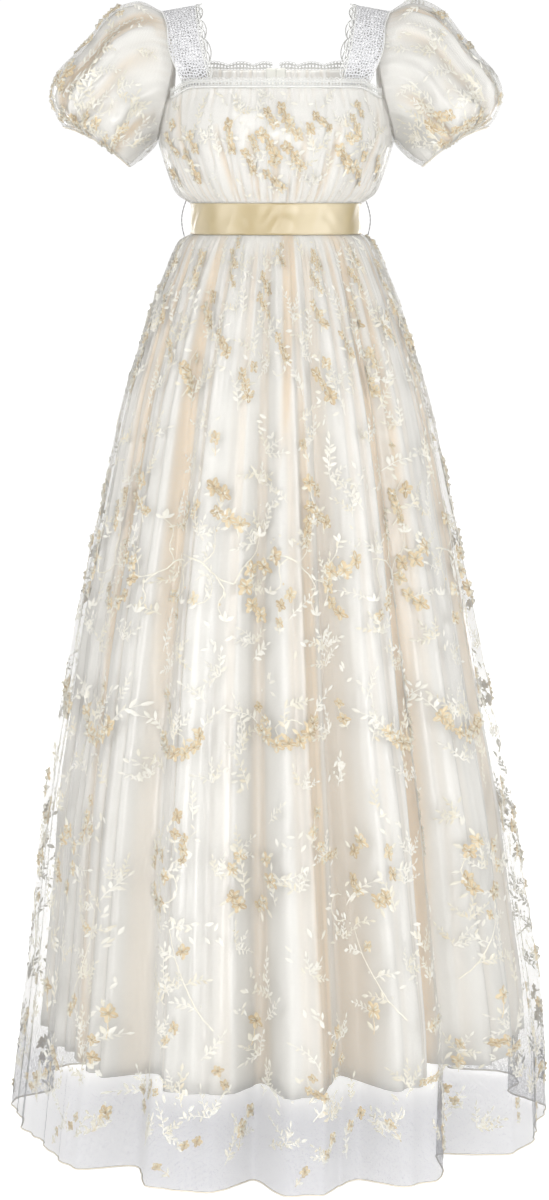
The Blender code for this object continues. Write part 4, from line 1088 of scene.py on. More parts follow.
def make_bodices():
    for panel in BODICE_PANELS:
        sew_panel(panel, "bodice_", "satin", "satin_bodice_", bodice_satin, WHOLE, BODICE_GRID,
                  SATIN, wall=SATIN_WALL, label="painted_shade", amount=bodice_painted_shade)
        sew_panel(panel, "bodice_net_", "net", "net_bodice_", bodice_net, WHOLE, BODICE_GRID, NET)


def make_sleeves():
    for side, sign in SIDES:
        sew_cloth("sleeve_satin_" + side, "satin", "satin_sleeve_" + side,
                  on_side(of_sleeve(sleeve_satin, sign), sign), range_on_side(*SLEEVE_TURNS, sign),
                  (0.0, SLEEVE_SATIN_END), SLEEVE_SATIN_GRID, SATIN, wall=SATIN_WALL, label="painted_shade",
                  amount=amount_on_side(of_sleeve(sleeve_painted_shade, sign), sign))
    for side, sign in SIDES:
        surface = on_side(of_sleeve(sleeve_net, sign), sign)
        turns = range_on_side(*SLEEVE_TURNS, sign)
        sew_cloth("sleeve_net_" + side, "net", "net_sleeve_" + side, surface, turns,
                  (0.0, SLEEVE_END), SLEEVE_GRID, NET)
        rolled_edge("sleeve_net_" + side, "rolled_cuff_" + side, surface, turns, SLEEVE_GRID[0],
                    SLEEVE_END)


def make_straps():
    for side, sign in SIDES:
        surface = on_side(strap, sign)
        node = "strap_lace_" + side
        sew_cloth(node, "lace", "lace_strap_" + side, surface, range_on_side(*WHOLE, sign), WHOLE,
                  STRAP_GRID, LACE)
        plain = STRAP_PLAIN / STRAP_LENGTH
        share = np.linspace(plain, 1.0 - plain, EDGE_POINTS)
        phase = (share * STRAP_LENGTH - STRAP_PLAIN) / LOOP_PITCH
        width = np.linalg.norm(strap(1.0 + 0 * share, share) - strap(0.0 * share, share), axis=1)
        lines = []
        for count, reach in ((1, LOOP_REACH), (2, LOOP_REACH * INNER_LOOP)):
            bulge = LOOP_FOOT + reach * np.abs(np.sin(math.pi * phase * count)) ** LOOP_ROUNDNESS
            lines.append(surface(sign * (1.0 + bulge / width), share))
        lines.append(surface(sign + 0.0 * share, share))
        edge = surface(0.0 * share, share)
        sew_onto(node, "lace", "strap_loops_" + side, lines, LOOP_RADIUS, COTTON_CORD)
        sew_onto(node, "lace", "strap_edge_" + side, [edge], STRAP_EDGE_RADIUS, COTTON_CORD)


def picots(surface, angles, share, reach, pitch):
    """A line of tiny loops standing on a neck lace at a share of the way down it."""
    line = surface(angles, share + 0.0 * angles)
    line[:, 2] += reach * np.abs(np.sin(math.pi * angles / pitch)) ** PICOT_ROUNDNESS
    return line


def make_neck_trims():
    end = neck_end_angle(-ARMHOLE_HALF_DEPTH, NECK_FRONT - NECK_FRONT_DIP / 2)
    sew_cloth("neck_lace_front", "lace", "neck_lace", neck_lace, (-end, end), (BAND_START, 1.0),
              NECK_LACE_GRID, EYELET_LACE)
    angles = np.linspace(-end, end, PICOT_POINTS)
    reach = BAND_START * LACE_HEIGHT
    rows = [picots(neck_lace, angles, BAND_START, reach, PICOT_PITCH),
            picots(neck_lace, angles, BAND_START, reach / 2, PICOT_PITCH / 2),
            neck_lace(angles, BAND_START + 0.0 * angles)]
    sew_onto("neck_lace_front", "lace", "neck_picots", rows, PICOT_RADIUS, COTTON_CORD)
    line = piping_line(np.linspace(-end, end, EDGE_POINTS))
    sew(tube("neck_piping_cord", [line], PIPING_RADIUS, COTTON_CORD, sides=2), "piping", "neck_piping")
    back_end = neck_end_angle(ARMHOLE_HALF_DEPTH, NECK_BACK)
    middle = 180.0 - math.degrees(ZIP_GAP_HALF / BODICE_SECTIONS[0].back)
    for side, sign in SIDES:
        span = (back_end, middle) if sign > 0 else (360.0 - middle, 360.0 - back_end)
        node = "neck_lace_back_" + side
        sew_cloth(node, "lace", "back_neck_lace_" + side, back_neck_lace, span, WHOLE,
                  BACK_LACE_GRID, EYELET_LACE)
        angles = np.linspace(*span, EDGE_POINTS)
        line = picots(back_neck_lace, angles, 0.0, BACK_PICOT_REACH, BACK_PICOT_PITCH)
        sew_onto(node, "lace", "back_neck_picots_" + side, [line], BACK_PICOT_RADIUS, COTTON_CORD)


BELT_LOOP_RADIUS = 0.0006
BELT_LOOP_BOW = 0.0045
BELT_LOOP_TOP = SASH_TOP + 0.0035
BELT_LOOP_LOW = SASH_BOTTOM - 0.003
BELT_LOOP_TWIST = 26.0
STRAND_RADIUS = 0.0005
STRAND_OFFSET = 0.0003
STRAND_POINTS = 61


def make_waist():
    end = 180.0 - BACK_OPENING
    sew_cloth("waistband", "satin", "waistband_satin", waistband, (-end, end), WHOLE, WAISTBAND_GRID,
              SATIN, wall=SATIN_WALL)
    sew_cloth("sash", "ribbon", "ribbon_sash", sash,
              (SASH_LAP_ANGLE - 360.0, SASH_LAP_ANGLE + SASH_LAP_LENGTH), WHOLE, SASH_GRID, RIBBON,
              wall=RIBBON_WALL, label="painted_shade", amount=ribbon_shade)
    top_x = float(bodice_side_x(0.0, BELT_LOOP_TOP, bodice_net_ease(BELT_LOOP_TOP)))
    low_x = float(section_radius(SKIRT_SECTIONS, 90.0, BELT_LOOP_LOW))
    share = np.linspace(0, 1, STRAND_POINTS)
    bow = BELT_LOOP_BOW * np.sin(math.pi * share)
    x = top_x + (low_x - top_x) * share + BELT_LOOP_RADIUS + SEAM_GAP + bow
    z = BELT_LOOP_TOP + (BELT_LOOP_LOW - BELT_LOOP_TOP) * share
    for side, sign in SIDES:
        strands = []
        for start in (0.0, math.pi):
            twist = BELT_LOOP_TWIST * share + start
            strands.append(joined(sign * (x + STRAND_OFFSET * np.sin(twist)),
                                  STRAND_OFFSET * np.cos(twist), z))
        sew(tube("thread_loop_" + side, strands, STRAND_RADIUS, LOOP_THREAD), "loop_thread",
            "belt_loop_" + side)


def make_zip():
    for side, sign in SIDES:
        sew_cloth("zip_tape_" + side, "zip_tape", "zip_tape_" + side + "_weave", on_side(zip_tape, sign),
                  range_on_side(*WHOLE, sign), WHOLE, TAPE_GRID, TAPE, wall=TAPE_WALL)
    step = np.linspace(0, COIL_TURNS * 2 * math.pi, COIL_TURNS * COIL_POINTS + 1)
    z = COIL_TOP + (ZIP_BOTTOM - COIL_TOP) * step / step[-1]
    y = bodice("back", z) - TAPE_DEPTH + SEAM_GAP + COIL_THICKNESS / 2 + COIL_RISE * np.sin(step)
    lines = []
    for side, sign in SIDES:
        x = sign * (COIL_WIDTH / 4 + COIL_GAP_HALF) + COIL_REACH * np.cos(step)
        lines.append(joined(x, y, z))
    sew(tube("zip_coil_teeth", lines, COIL_THREAD, COIL), "zip_coil", "zip_coil")
    for node in ("zip_slider", "zip_pull_tab"):
        for place in bpy.data.objects[node].material_slots:
            place.material = METAL


make_overskirts()
make_underskirts()
make_bodices()
make_sleeves()
make_straps()
make_neck_trims()
make_waist()
make_zip()


# ---------------------------------------------------------------- embroidery

# Stitched shapes laid flat: points in metres with x across, y up and z off the cloth,
# their thread map, a tone for the thread colour, and triangles
Stitched = namedtuple("Stitched", "points thread tone faces")
GOLD = 0.2
PALE_GOLD = 0.38
CREAM = 0.68
WHITE = 0.92
STITCH_HEIGHT = 0.0004
# How far to both sides of a spray the cloth is measured, and of a stitch its slope
MEASURE_SPAN = 3.0
SLOPE_SPAN = 0.2
BOTH_WAYS = np.array([-1.0, 1.0])
STEM_STEPS = 7
STEM_TAPER = 0.45
STEM_HEIGHT = 0.7
STEM_SLOPE_SPAN = 0.04
# The length and width of thread that a shape one long or one wide shows
THREAD_LENGTH = 0.01
THREAD_WIDTH = 0.002


def taken_from(mesh):
    """Read a small mesh into arrays, with its own plan as its thread map."""
    bmesh.ops.triangulate(mesh, faces=mesh.faces[:])
    mesh.verts.index_update()
    points = np.array([vert.co[:] for vert in mesh.verts])
    faces = np.array([[vert.index for vert in face.verts] for face in mesh.faces])
    mesh.free()
    return Stitched(points, points[:, :2] * THREAD_LENGTH, np.zeros(len(points)), faces)


def leaf_shape(segments, fullness, height):
    """A leaf one long, from its root at the origin to its tip, domed along its middle."""
    leaf = bmesh.new()
    bmesh.ops.create_circle(leaf, cap_ends=True, segments=segments, radius=0.5)
    bmesh.ops.poke(leaf, faces=leaf.faces[:])
    for vert in leaf.verts:
        inside = vert.co.length < 0.1
        vert.co.x *= 1.0 - fullness * (2 * vert.co.y) ** 2
        vert.co.z = height if inside else 0.0
        vert.co.y += 0.5
    return taken_from(leaf)


def stem_strip(steps):
    """A strip one long that stands a little proud along its middle."""
    strip = bmesh.new()
    bmesh.ops.create_grid(strip, x_segments=2, y_segments=steps, size=0.5)
    for vert in strip.verts:
        vert.co.z = 0.5 if abs(vert.co.x) < 0.1 else 0.0
        vert.co.y += 0.5
    return taken_from(strip)


def turned(shape, spin, size=1.0, across=0.0, up=0.0, tone=0.0, width=1.0):
    """A copy of a shape, narrowed, scaled, turned in degrees, moved and retoned."""
    cos = math.cos(math.radians(spin)) * size
    sin = math.sin(math.radians(spin)) * size
    x = shape.points[:, 0] * width
    y = shape.points[:, 1]
    points = np.stack([across + x * cos - y * sin, up + x * sin + y * cos,
                       shape.points[:, 2] * size], axis=-1)
    return Stitched(points, shape.thread, shape.tone + tone, shape.faces)


def flipped(shape):
    """The mirror image of a shape, with its faces still upwards."""
    return Stitched(shape.points * np.array([-1.0, 1.0, 1.0]), shape.thread, shape.tone,
                    shape.faces[:, ::-1])


def put_together(shapes):
    """Join shapes into one."""
    counts = np.cumsum([0] + [len(shape.points) for shape in shapes])
    points, thread, tone = (np.concatenate(part) for part in list(zip(*shapes))[:3])
    faces = np.concatenate([shape.faces + start for shape, start in zip(shapes, counts)])
    return Stitched(points, thread, tone, faces)


def either_way(dice, shapes):
    """Join shapes, as they are or mirrored."""
    whole = put_together(shapes)
    return whole if dice.random() < 0.5 else flipped(whole)


def blossom_shape(petals):
    """Ragged petals round a darker middle, with pale threads over them; one unit across."""
    petal = turned(leaf_shape(7, 0.25, 0.12), 0.0, 0.5, up=0.03, width=0.72)
    thread = turned(leaf_shape(4, 0.2, 0.4), 0.0, 0.4, up=0.07, tone=0.42, width=0.22)
    thread.points[:, 2] += 0.05
    middle = turned(leaf_shape(6, 0.0, 0.5), 0.0, 0.24, up=-0.12, tone=-0.18)
    ring = []
    for n in range(petals):
        spin = 360.0 * n / petals + 14.0 * math.sin(5 * n)
        size = 1.0 + 0.14 * math.sin(4 * n + 1)
        ring.append(turned(petal, spin, size, tone=0.07 * (n % 3) - 0.05))
        ring.append(turned(thread, spin + 11.0 - 16.0 * (n % 2), size))
    return put_together(ring + [middle])


LEAF = leaf_shape(8, 0.55, 0.1)
BUD = leaf_shape(6, 0.1, 0.35)
BLOSSOM = blossom_shape(6)
STRIP = stem_strip(STEM_STEPS)


def stem(line, width, tone):
    """A couched thread along a line of points, thinner at its tip."""
    keys = np.linspace(0, 1, len(line))
    place = STRIP.points[:, 1]

    def read(axis, shift=0.0):
        return read_curve(keys, [point[axis] for point in line], place + shift)

    slope_x, slope_y = (read(axis, STEM_SLOPE_SPAN) - read(axis, -STEM_SLOPE_SPAN) for axis in (0, 1))
    length = np.maximum(np.hypot(slope_x, slope_y), 1e-9)
    side = STRIP.points[:, 0] * width * (1.0 - STEM_TAPER * place)
    points = np.stack([read(0) + slope_y / length * side, read(1) - slope_x / length * side,
                       STRIP.points[:, 2] * width * STEM_HEIGHT], axis=-1)
    thread = np.stack([place * THREAD_LENGTH, STRIP.points[:, 0] * THREAD_WIDTH], axis=-1)
    return Stitched(points, thread, np.full(len(points), tone), STRIP.faces)


def blossom(dice, across, up, size, tone=GOLD):
    return turned(BLOSSOM, dice.uniform(0, 72), size * dice.uniform(0.85, 1.15), across, up,
                  tone + dice.uniform(-0.1, 0.12), dice.uniform(0.75, 1.0))


def leaf(dice, across, up, spin, length, tone):
    return turned(LEAF, spin + dice.uniform(-9, 9), length * dice.uniform(0.85, 1.15), across, up,
                  tone + dice.uniform(-0.08, 0.08), dice.uniform(0.34, 0.46))


def bud(dice, across, up, size, tone):
    return turned(BUD, dice.uniform(0, 360), size, across, up, tone, 0.9)


def sprig(dice, length, bend, tone, leaves=7, leaf_length=0.01):
    """A stem with leaves to both sides in turn and one at its tip; it grows upwards."""
    line = [(bend * length * t * t, length * t) for t in (0.0, 0.33, 0.66, 1.0)]
    parts = [stem(line, 0.0013, tone)]
    for n in range(leaves):
        t = 0.16 + 0.78 * (n + dice.uniform(-0.3, 0.3)) / leaves
        side = -1 if n % 2 else 1
        spread = dice.uniform(28.0, 66.0)
        size = leaf_length * (1.1 - 0.35 * t) * dice.uniform(0.7, 1.2)
        parts.append(leaf(dice, bend * length * t * t, length * t,
                          -side * spread - math.degrees(math.atan(2 * bend * t)), size,
                          tone + dice.uniform(-0.12, 0.05)))
    parts.append(leaf(dice, *line[-1], -math.degrees(math.atan(2 * bend)), leaf_length, tone))
    return put_together(parts)


def cream_sprig(dice):
    return sprig(dice, dice.uniform(0.03, 0.046), dice.uniform(-0.5, 0.5),
                 dice.choice((CREAM, WHITE, WHITE)), 8)


def leafy(dice):
    """Three short cream sprigs that fan out from one root."""
    parts = []
    for spin in (-48.0, 4.0, 52.0):
        twig = sprig(dice, dice.uniform(0.02, 0.032), dice.uniform(-0.3, 0.3),
                     dice.choice((CREAM, WHITE)), 6, 0.0085)
        parts.append(turned(twig, spin + dice.uniform(-10, 10)))
    return put_together(parts)


def long_spray(dice):
    """Two cream sprigs that part from one root, with buds beside them."""
    side = dice.choice((-1.0, 1.0))
    first = turned(sprig(dice, 0.058, 0.35 * side, WHITE, 11), 10.0 * side)
    second = turned(sprig(dice, 0.036, -0.4 * side, CREAM, 7), 42.0 * side, up=0.004)
    buds = [bud(dice, -side * 0.006 * n, 0.012 + 0.009 * n, 0.003, WHITE) for n in range(1, 4)]
    return put_together([first, second] + buds)


def garland(dice):
    """A long forked stem that ends in an arc of gold blossoms, with leaves on its forks."""
    side = dice.choice((-1.0, 1.0))
    main = [(-0.062, 0.014), (-0.036, 0.012), (-0.012, -0.004), (0.012, -0.01), (0.034, 0.0)]
    parts = [stem(main, 0.002, CREAM)]
    for line in (((-0.03, 0.01), (-0.018, 0.024), (-0.02, 0.044), (-0.01, 0.058)),
                 ((-0.012, -0.004), (0.0, -0.018), (-0.006, -0.034), (0.004, -0.05)),
                 ((-0.044, 0.013), (-0.056, 0.0), (-0.05, -0.02), (-0.064, -0.034)),
                 ((0.01, -0.01), (0.018, 0.008), (0.03, 0.022), (0.034, 0.04))):
        parts.append(stem(line, 0.0015, CREAM))
        for spin in (-62.0, 0.0, 58.0):
            parts.append(leaf(dice, *line[-1], spin, 0.011, WHITE))
        parts.append(bud(dice, line[2][0] + 0.003, line[2][1], 0.0032, PALE_GOLD))
        parts.append(leaf(dice, *line[1], dice.uniform(0, 360), 0.008, CREAM))
    for x, y in ((0.026, 0.004), (0.043, 0.008), (0.056, 0.022), (0.022, -0.014), (0.03, -0.034),
                 (0.042, -0.044)):
        parts.append(blossom(dice, x, y, 0.0185))
    parts.append(blossom(dice, -0.036, -0.03, 0.016, PALE_GOLD))
    parts += [bud(dice, 0.05 + 0.005 * n, 0.034 + 0.006 * n, 0.003, CREAM) for n in range(3)]
    whole = put_together(parts)
    return whole if side > 0 else flipped(whole)


def crescent(dice):
    """Gold blossoms in a hanging arc, with a leafy twig from each end and a curl inside."""
    parts = []
    for n in range(7):
        turn = math.radians(200.0 + 140.0 * n / 6)
        x = 0.034 * math.cos(turn)
        y = 0.026 * math.sin(turn) + 0.012
        parts.append(blossom(dice, x, y + dice.uniform(-0.002, 0.002), 0.0165))
        parts.append(leaf(dice, x, y + 0.006, math.degrees(turn) + dice.uniform(40, 140), 0.009, PALE_GOLD))
    curl = [(0.02, 0.004), (0.006, 0.012), (-0.012, 0.006), (-0.01, -0.004)]
    parts.append(stem(curl, 0.0014, CREAM))
    for side in (-1.0, 1.0):
        twig = sprig(dice, 0.03, 0.4 * side, WHITE, 6)
        parts.append(turned(twig, -30.0 * side, across=0.036 * side, up=0.01))
    parts.append(turned(sprig(dice, 0.026, 0.3, CREAM, 5), 12.0, up=-0.002))
    return either_way(dice, parts)


def ring_spray(dice):
    """An uneven ring of gold blossoms, open at one place, with leaves outside it."""
    parts = []
    for n in (0, 1, 3, 4, 5, 6, 7, 8):
        turn = math.radians(40.0 * n + 12.0 * math.sin(3 * n))
        x = 0.024 * math.cos(turn)
        y = 0.032 * math.sin(turn)
        parts.append(blossom(dice, x, y, 0.0155))
        parts.append(leaf(dice, x * 1.25, y * 1.2, math.degrees(turn) - 90.0, 0.01, CREAM))
    parts.append(turned(sprig(dice, 0.034, -0.4, WHITE, 7), -100.0, across=0.026, up=0.006))
    return put_together(parts)


def cluster(dice):
    """Three to five gold blossoms one above another on a short stem."""
    parts = [stem([(0.0, -0.03), (0.004, -0.012), (-0.003, 0.01), (0.002, 0.028)], 0.0014, CREAM)]
    for n in range(dice.choice((3, 4, 5))):
        parts.append(blossom(dice, 0.009 * math.sin(2.1 * n + 1), -0.02 + 0.012 * n, 0.0165))
    for n in range(6):
        side = (-1) ** n
        parts.append(leaf(dice, 0.004 * side, -0.026 + 0.01 * n, -75.0 * side, 0.01,
                          dice.choice((WHITE, CREAM))))
    return put_together(parts)


def two_leaves(dice, up, spins, length):
    return [leaf(dice, 0.0, up, spin, length, tone) for spin, tone in zip(spins, (CREAM, WHITE))]


def pair(dice):
    """Two gold blossoms, one over the other."""
    stalk = stem([(0.0, -0.022), (0.002, -0.008), (0.0, 0.006), (0.003, 0.014)], 0.0012, CREAM)
    leaves = two_leaves(dice, -0.018, (60.0, -60.0), 0.009)
    return put_together([stalk, blossom(dice, 0.001, -0.008, 0.016),
                         blossom(dice, 0.004, 0.013, 0.017), *leaves])


def single(dice):
    """One blossom on a short stem between two leaves."""
    stalk = stem([(0.0, -0.026), (0.001, -0.018), (0.0, -0.01), (0.0, -0.004)], 0.0013, PALE_GOLD)
    leaves = two_leaves(dice, -0.022, (35.0, -48.0), 0.011)
    return put_together([stalk, blossom(dice, 0.0, 0.0, 0.018), *leaves])


def tendril(dice):
    """A curled thread with round buds."""
    line = [(0.0, -0.02), (0.012, -0.012), (0.012, 0.004), (0.0, 0.012), (-0.008, 0.004)]
    parts = [stem(line, 0.0013, CREAM)]
    for n in range(4):
        parts.append(bud(dice, 0.013 - 0.006 * n, 0.01 + 0.007 * n, 0.0032, WHITE))
        parts.append(leaf(dice, *line[n], dice.uniform(-140, 140), 0.009, WHITE))
    return either_way(dice, parts)


def branch(dice):
    """A long slanting twig with forks, leaves and buds."""
    main = [(-0.036, -0.058), (-0.014, -0.036), (0.0, -0.008), (0.014, 0.022), (0.022, 0.054)]
    parts = [stem(main, 0.0018, CREAM)]
    for n, (x, y) in enumerate(main[1:]):
        side = -1.0 if n % 2 else 1.0
        fork = sprig(dice, 0.026, 0.3 * side, dice.choice((CREAM, WHITE)), 6)
        parts.append(turned(fork, -58.0 * side, across=x, up=y))
        parts.append(bud(dice, x - 0.006 * side, y + 0.006, 0.0034, WHITE))
    parts.append(blossom(dice, 0.004, 0.03, 0.016))
    return either_way(dice, parts)


def scattered(dice):
    """A few loose leaves and a bud."""
    parts = []
    for n in range(5):
        x = dice.uniform(-0.016, 0.016)
        y = dice.uniform(-0.018, 0.018)
        parts.append(leaf(dice, x, y, dice.uniform(-70, 70), 0.009, dice.choice((CREAM, WHITE, WHITE))))
    parts.append(bud(dice, 0.0, 0.0, 0.0034, WHITE))
    return put_together(parts)


def embroider(node, name, surface, full, limits, sprays):
    """Lay stitched shapes onto the cloth of a node as one mesh.

    Each spray is its shape with a place across and down the piece.  full tells how many
    metres of cloth are gathered into one metre there.  limits are the highest and lowest
    place for a stitch and a small step down the piece.
    """
    top, low, step = limits
    places = []
    drops = []
    for shape, across, down in sprays:
        sides = surface(across + MEASURE_SPAN * BOTH_WAYS, down + 0 * BOTH_WAYS)
        ends = surface(across + 0 * BOTH_WAYS, down + step * BOTH_WAYS)
        per_across = np.linalg.norm(sides[1] - sides[0]) / (2 * MEASURE_SPAN) * full(down)
        per_down = np.linalg.norm(ends[1] - ends[0]) / (2 * step)
        places.append(across + shape.points[:, 0] / per_across)
        drops.append(down - shape.points[:, 1] / per_down)
    whole = put_together([spray[0] for spray in sprays])
    place = np.concatenate(places)
    drop = np.concatenate(drops)
    inside = (drop > top) & (drop < low)
    drop = np.clip(drop, top, low)
    faces = whole.faces[inside[whole.faces].any(axis=1)]
    along = surface(place + SLOPE_SPAN, drop) - surface(place - SLOPE_SPAN, drop)
    rise = SLOPE_SPAN * step
    down = surface(place, drop + rise) - surface(place, drop - rise)
    out = np.cross(down, along)
    out /= np.linalg.norm(out, axis=1)[:, None]
    points = surface(place, drop) + out * (whole.points[:, 2] + STITCH_HEIGHT)[:, None]
    mesh = bpy.data.meshes.new(name)
    mesh.from_pydata(points.tolist(), [], faces.tolist())
    store_map(mesh, "thread", whole.thread)
    store_amount(mesh, "tone", whole.tone)
    mesh.update()
    SEWN[node][1].append(sew(link(name, mesh, THREAD), "net"))


# Rows of sprays down the skirt: how far below the waist seam, how many go round, which one,
# its size, its turn in degrees, how far it may stray up or down, and where the row starts
SprayRow = namedtuple("SprayRow", "drop count kind size spin stray first")
SKIRT_SPRAYS = rows_of(SprayRow, (
    (0.022, 14, cluster, 0.7, 6, 0.008, 3), (0.04, 16, cream_sprig, 0.85, 10, 0.012, 14),
    (0.082, 13, cluster, 0.95, 10, 0.012, -9), (0.1, 15, long_spray, 0.75, 8, 0.014, 4),
    (0.052, 15, cluster, 0.75, 8, 0.01, -2), (0.128, 13, cluster, 0.95, 10, 0.014, 2),
    (0.168, 12, cluster, 1.05, 12, 0.014, -13), (0.14, 16, long_spray, 0.85, 12, 0.014, 15),
    (0.16, 14, tendril, 0.9, 20, 0.018, 1), (0.2, 17, cream_sprig, 0.95, 20, 0.014, 8),
    (0.228, 15, scattered, 1.1, 30, 0.012, -4), (0.252, 11, single, 0.8, 24, 0.01, 12),
    (0.285, 15, cream_sprig, 1, 60, 0.012, 20), (0.3, 12, scattered, 1.1, 60, 0.014, 2),
    (0.332, 10, cluster, 1.15, 38, 0.012, 16), (0.352, 10, cluster, 0.95, 60, 0.014, 6),
    (0.35, 12, long_spray, 0.85, 24, 0.014, -2), (0.412, 12, garland, 1.12, 9, 0.01, -14),
    (0.432, 10, tendril, 1.1, 40, 0.014, 8), (0.49, 14, scattered, 1.2, 40, 0.016, 6),
    (0.515, 13, cream_sprig, 1.05, 50, 0.014, 18), (0.548, 14, scattered, 1.1, 60, 0.012, -3),
    (0.462, 12, pair, 1, 60, 0.014, 2), (0.6, 12, crescent, 1.15, 10, 0.012, 4),
    (0.572, 14, pair, 0.95, 80, 0.014, 20), (0.612, 10, long_spray, 0.9, 30, 0.014, 22),
    (0.665, 14, cream_sprig, 1.05, 60, 0.014, -8), (0.705, 10, pair, 1.05, 12, 0.012, 13),
    (0.715, 14, scattered, 1.2, 50, 0.016, 1), (0.775, 12, ring_spray, 1.12, 14, 0.012, -5),
    (0.742, 12, cluster, 0.85, 70, 0.012, 9), (0.79, 10, tendril, 1.2, 40, 0.016, 14),
    (0.8, 11, cream_sprig, 1.1, 40, 0.016, 24), (0.86, 14, scattered, 1.25, 60, 0.016, 5),
    (0.88, 10, branch, 1, 12, 0.014, 18), (0.915, 12, long_spray, 0.9, 40, 0.014, 2),
    (0.945, 11, single, 1.15, 14, 0.01, -6), (0.93, 14, scattered, 1.2, 60, 0.016, 12),
    (0.835, 13, scattered, 1.2, 60, 0.014, 12), (0.64, 15, scattered, 1.2, 60, 0.014, 12),
    (0.385, 15, scattered, 1.1, 60, 0.014, 2), (0.985, 14, cream_sprig, 1.05, 60, 0.014, 10),
    (1.01, 11, pair, 0.95, 70, 0.012, 16), (1.048, 16, cream_sprig, 1.05, 70, 0.014, 3),
    (1.075, 12, single, 0.95, 60, 0.012, 20), (1.1, 14, cream_sprig, 0.95, 80, 0.01, -5),
    (1.118, 11, single, 0.8, 80, 0.006, 9), (1.056, 15, leafy, 1.15, 60, 0.01, 12),
    (1.088, 16, leafy, 1.1, 60, 0.008, 1), (1.066, 13, pair, 0.9, 80, 0.01, -8),
    (1.11, 17, cream_sprig, 0.9, 85, 0.008, 13),
))
# Pale sprigs that fill the ground between those rows
GROUND_ROWS = 27
SKIRT_SPRAYS += rows_of(SprayRow, (
    (0.05 + 0.0402 * n, 15 + n % 3, (leafy, cream_sprig, leafy)[n % 3], 0.92, 65, 0.018, 7 * n)
    for n in range(GROUND_ROWS)
))
SKIRT_SPRAYS += rows_of(SprayRow, (
    (1.094, 13, pair, 0.85, 80, 0.01, 6), (1.024, 12, cluster, 0.85, 80, 0.014, 2),
    (0.962, 12, pair, 0.95, 80, 0.014, 9), (1.036, 15, scattered, 1.15, 60, 0.014, 4),
    (0.895, 12, scattered, 1.15, 60, 0.014, -3),
))
# Sprays on the bodice: angle, share of the way down, kind, size and turn
BODICE_SPRAYS = [
    (-62, 0.4, cluster, 0.95, 6), (-50, 0.62, cluster, 1.05, -14), (-42, 0.3, cream_sprig, 0.8, 14),
    (-57, 0.18, cream_sprig, 0.6, 30), (-33, 0.6, cream_sprig, 0.85, -10), (-24, 0.38, cluster, 1, -24),
    (-15, 0.6, cluster, 0.8, -12), (-28, 0.14, scattered, 0.9, 10), (-12, 0.28, long_spray, 0.75, -20),
    (-4, 0.44, cluster, 1.1, 4), (-2, 0.76, cluster, 0.95, 18), (6, 0.22, cluster, 0.95, -12),
    (10, 0.54, cluster, 1.1, 10), (-9, 0.82, cream_sprig, 0.7, 10), (19, 0.36, single, 0.85, 10),
    (21, 0.6, long_spray, 0.7, 14), (30, 0.4, scattered, 1, 0), (31, 0.74, cream_sprig, 0.8, -8),
    (28, 0.14, cream_sprig, 0.6, -40), (39, 0.56, cluster, 1.05, 8), (44, 0.3, cluster, 0.8, -14),
    (50, 0.7, cluster, 0.95, 10), (57, 0.42, long_spray, 0.7, 8), (66, 0.62, cluster, 0.85, 0),
    (-70, 0.66, cluster, 0.9, 12), (-38, 0.84, tendril, 0.7, 0), (17, 0.86, tendril, 0.7, 40),
    (42, 0.88, scattered, 0.8, 0), (-20, 0.86, scattered, 0.8, 0), (76, 0.6, cream_sprig, 0.8, 0),
    (-80, 0.5, cream_sprig, 0.8, 0), (3, 0.9, scattered, 0.7, 0), (-47, 0.46, leafy, 0.85, 20),
    (-20, 0.22, leafy, 0.8, -10), (-8, 0.62, leafy, 0.8, 30), (14, 0.72, leafy, 0.85, 0),
    (25, 0.26, cluster, 0.8, 16), (36, 0.34, leafy, 0.8, -20), (52, 0.52, leafy, 0.8, 10),
    (-36, 0.44, leafy, 0.8, 40), (0, 0.1, cream_sprig, 0.6, 70), (24, 0.84, leafy, 0.75, 0),
    (108, 0.45, cream_sprig, 0.8, 10), (120, 0.62, cluster, 0.95, -8), (127, 0.3, long_spray, 0.7, 12),
    (140, 0.52, cluster, 1, 10), (148, 0.22, cream_sprig, 0.75, -20), (150, 0.76, tendril, 0.8, 0),
    (162, 0.42, cluster, 0.95, 6), (168, 0.72, cream_sprig, 0.7, 0), (134, 0.82, scattered, 0.9, 0),
    (252, 0.45, cream_sprig, 0.8, -10), (240, 0.62, cluster, 0.95, 8), (233, 0.3, long_spray, 0.7, -12),
    (220, 0.52, cluster, 1, -10), (212, 0.22, cream_sprig, 0.75, 20), (210, 0.76, tendril, 0.8, 0),
    (197, 0.42, cluster, 0.95, -6), (192, 0.72, cream_sprig, 0.7, 0), (226, 0.82, scattered, 0.9, 0),
]
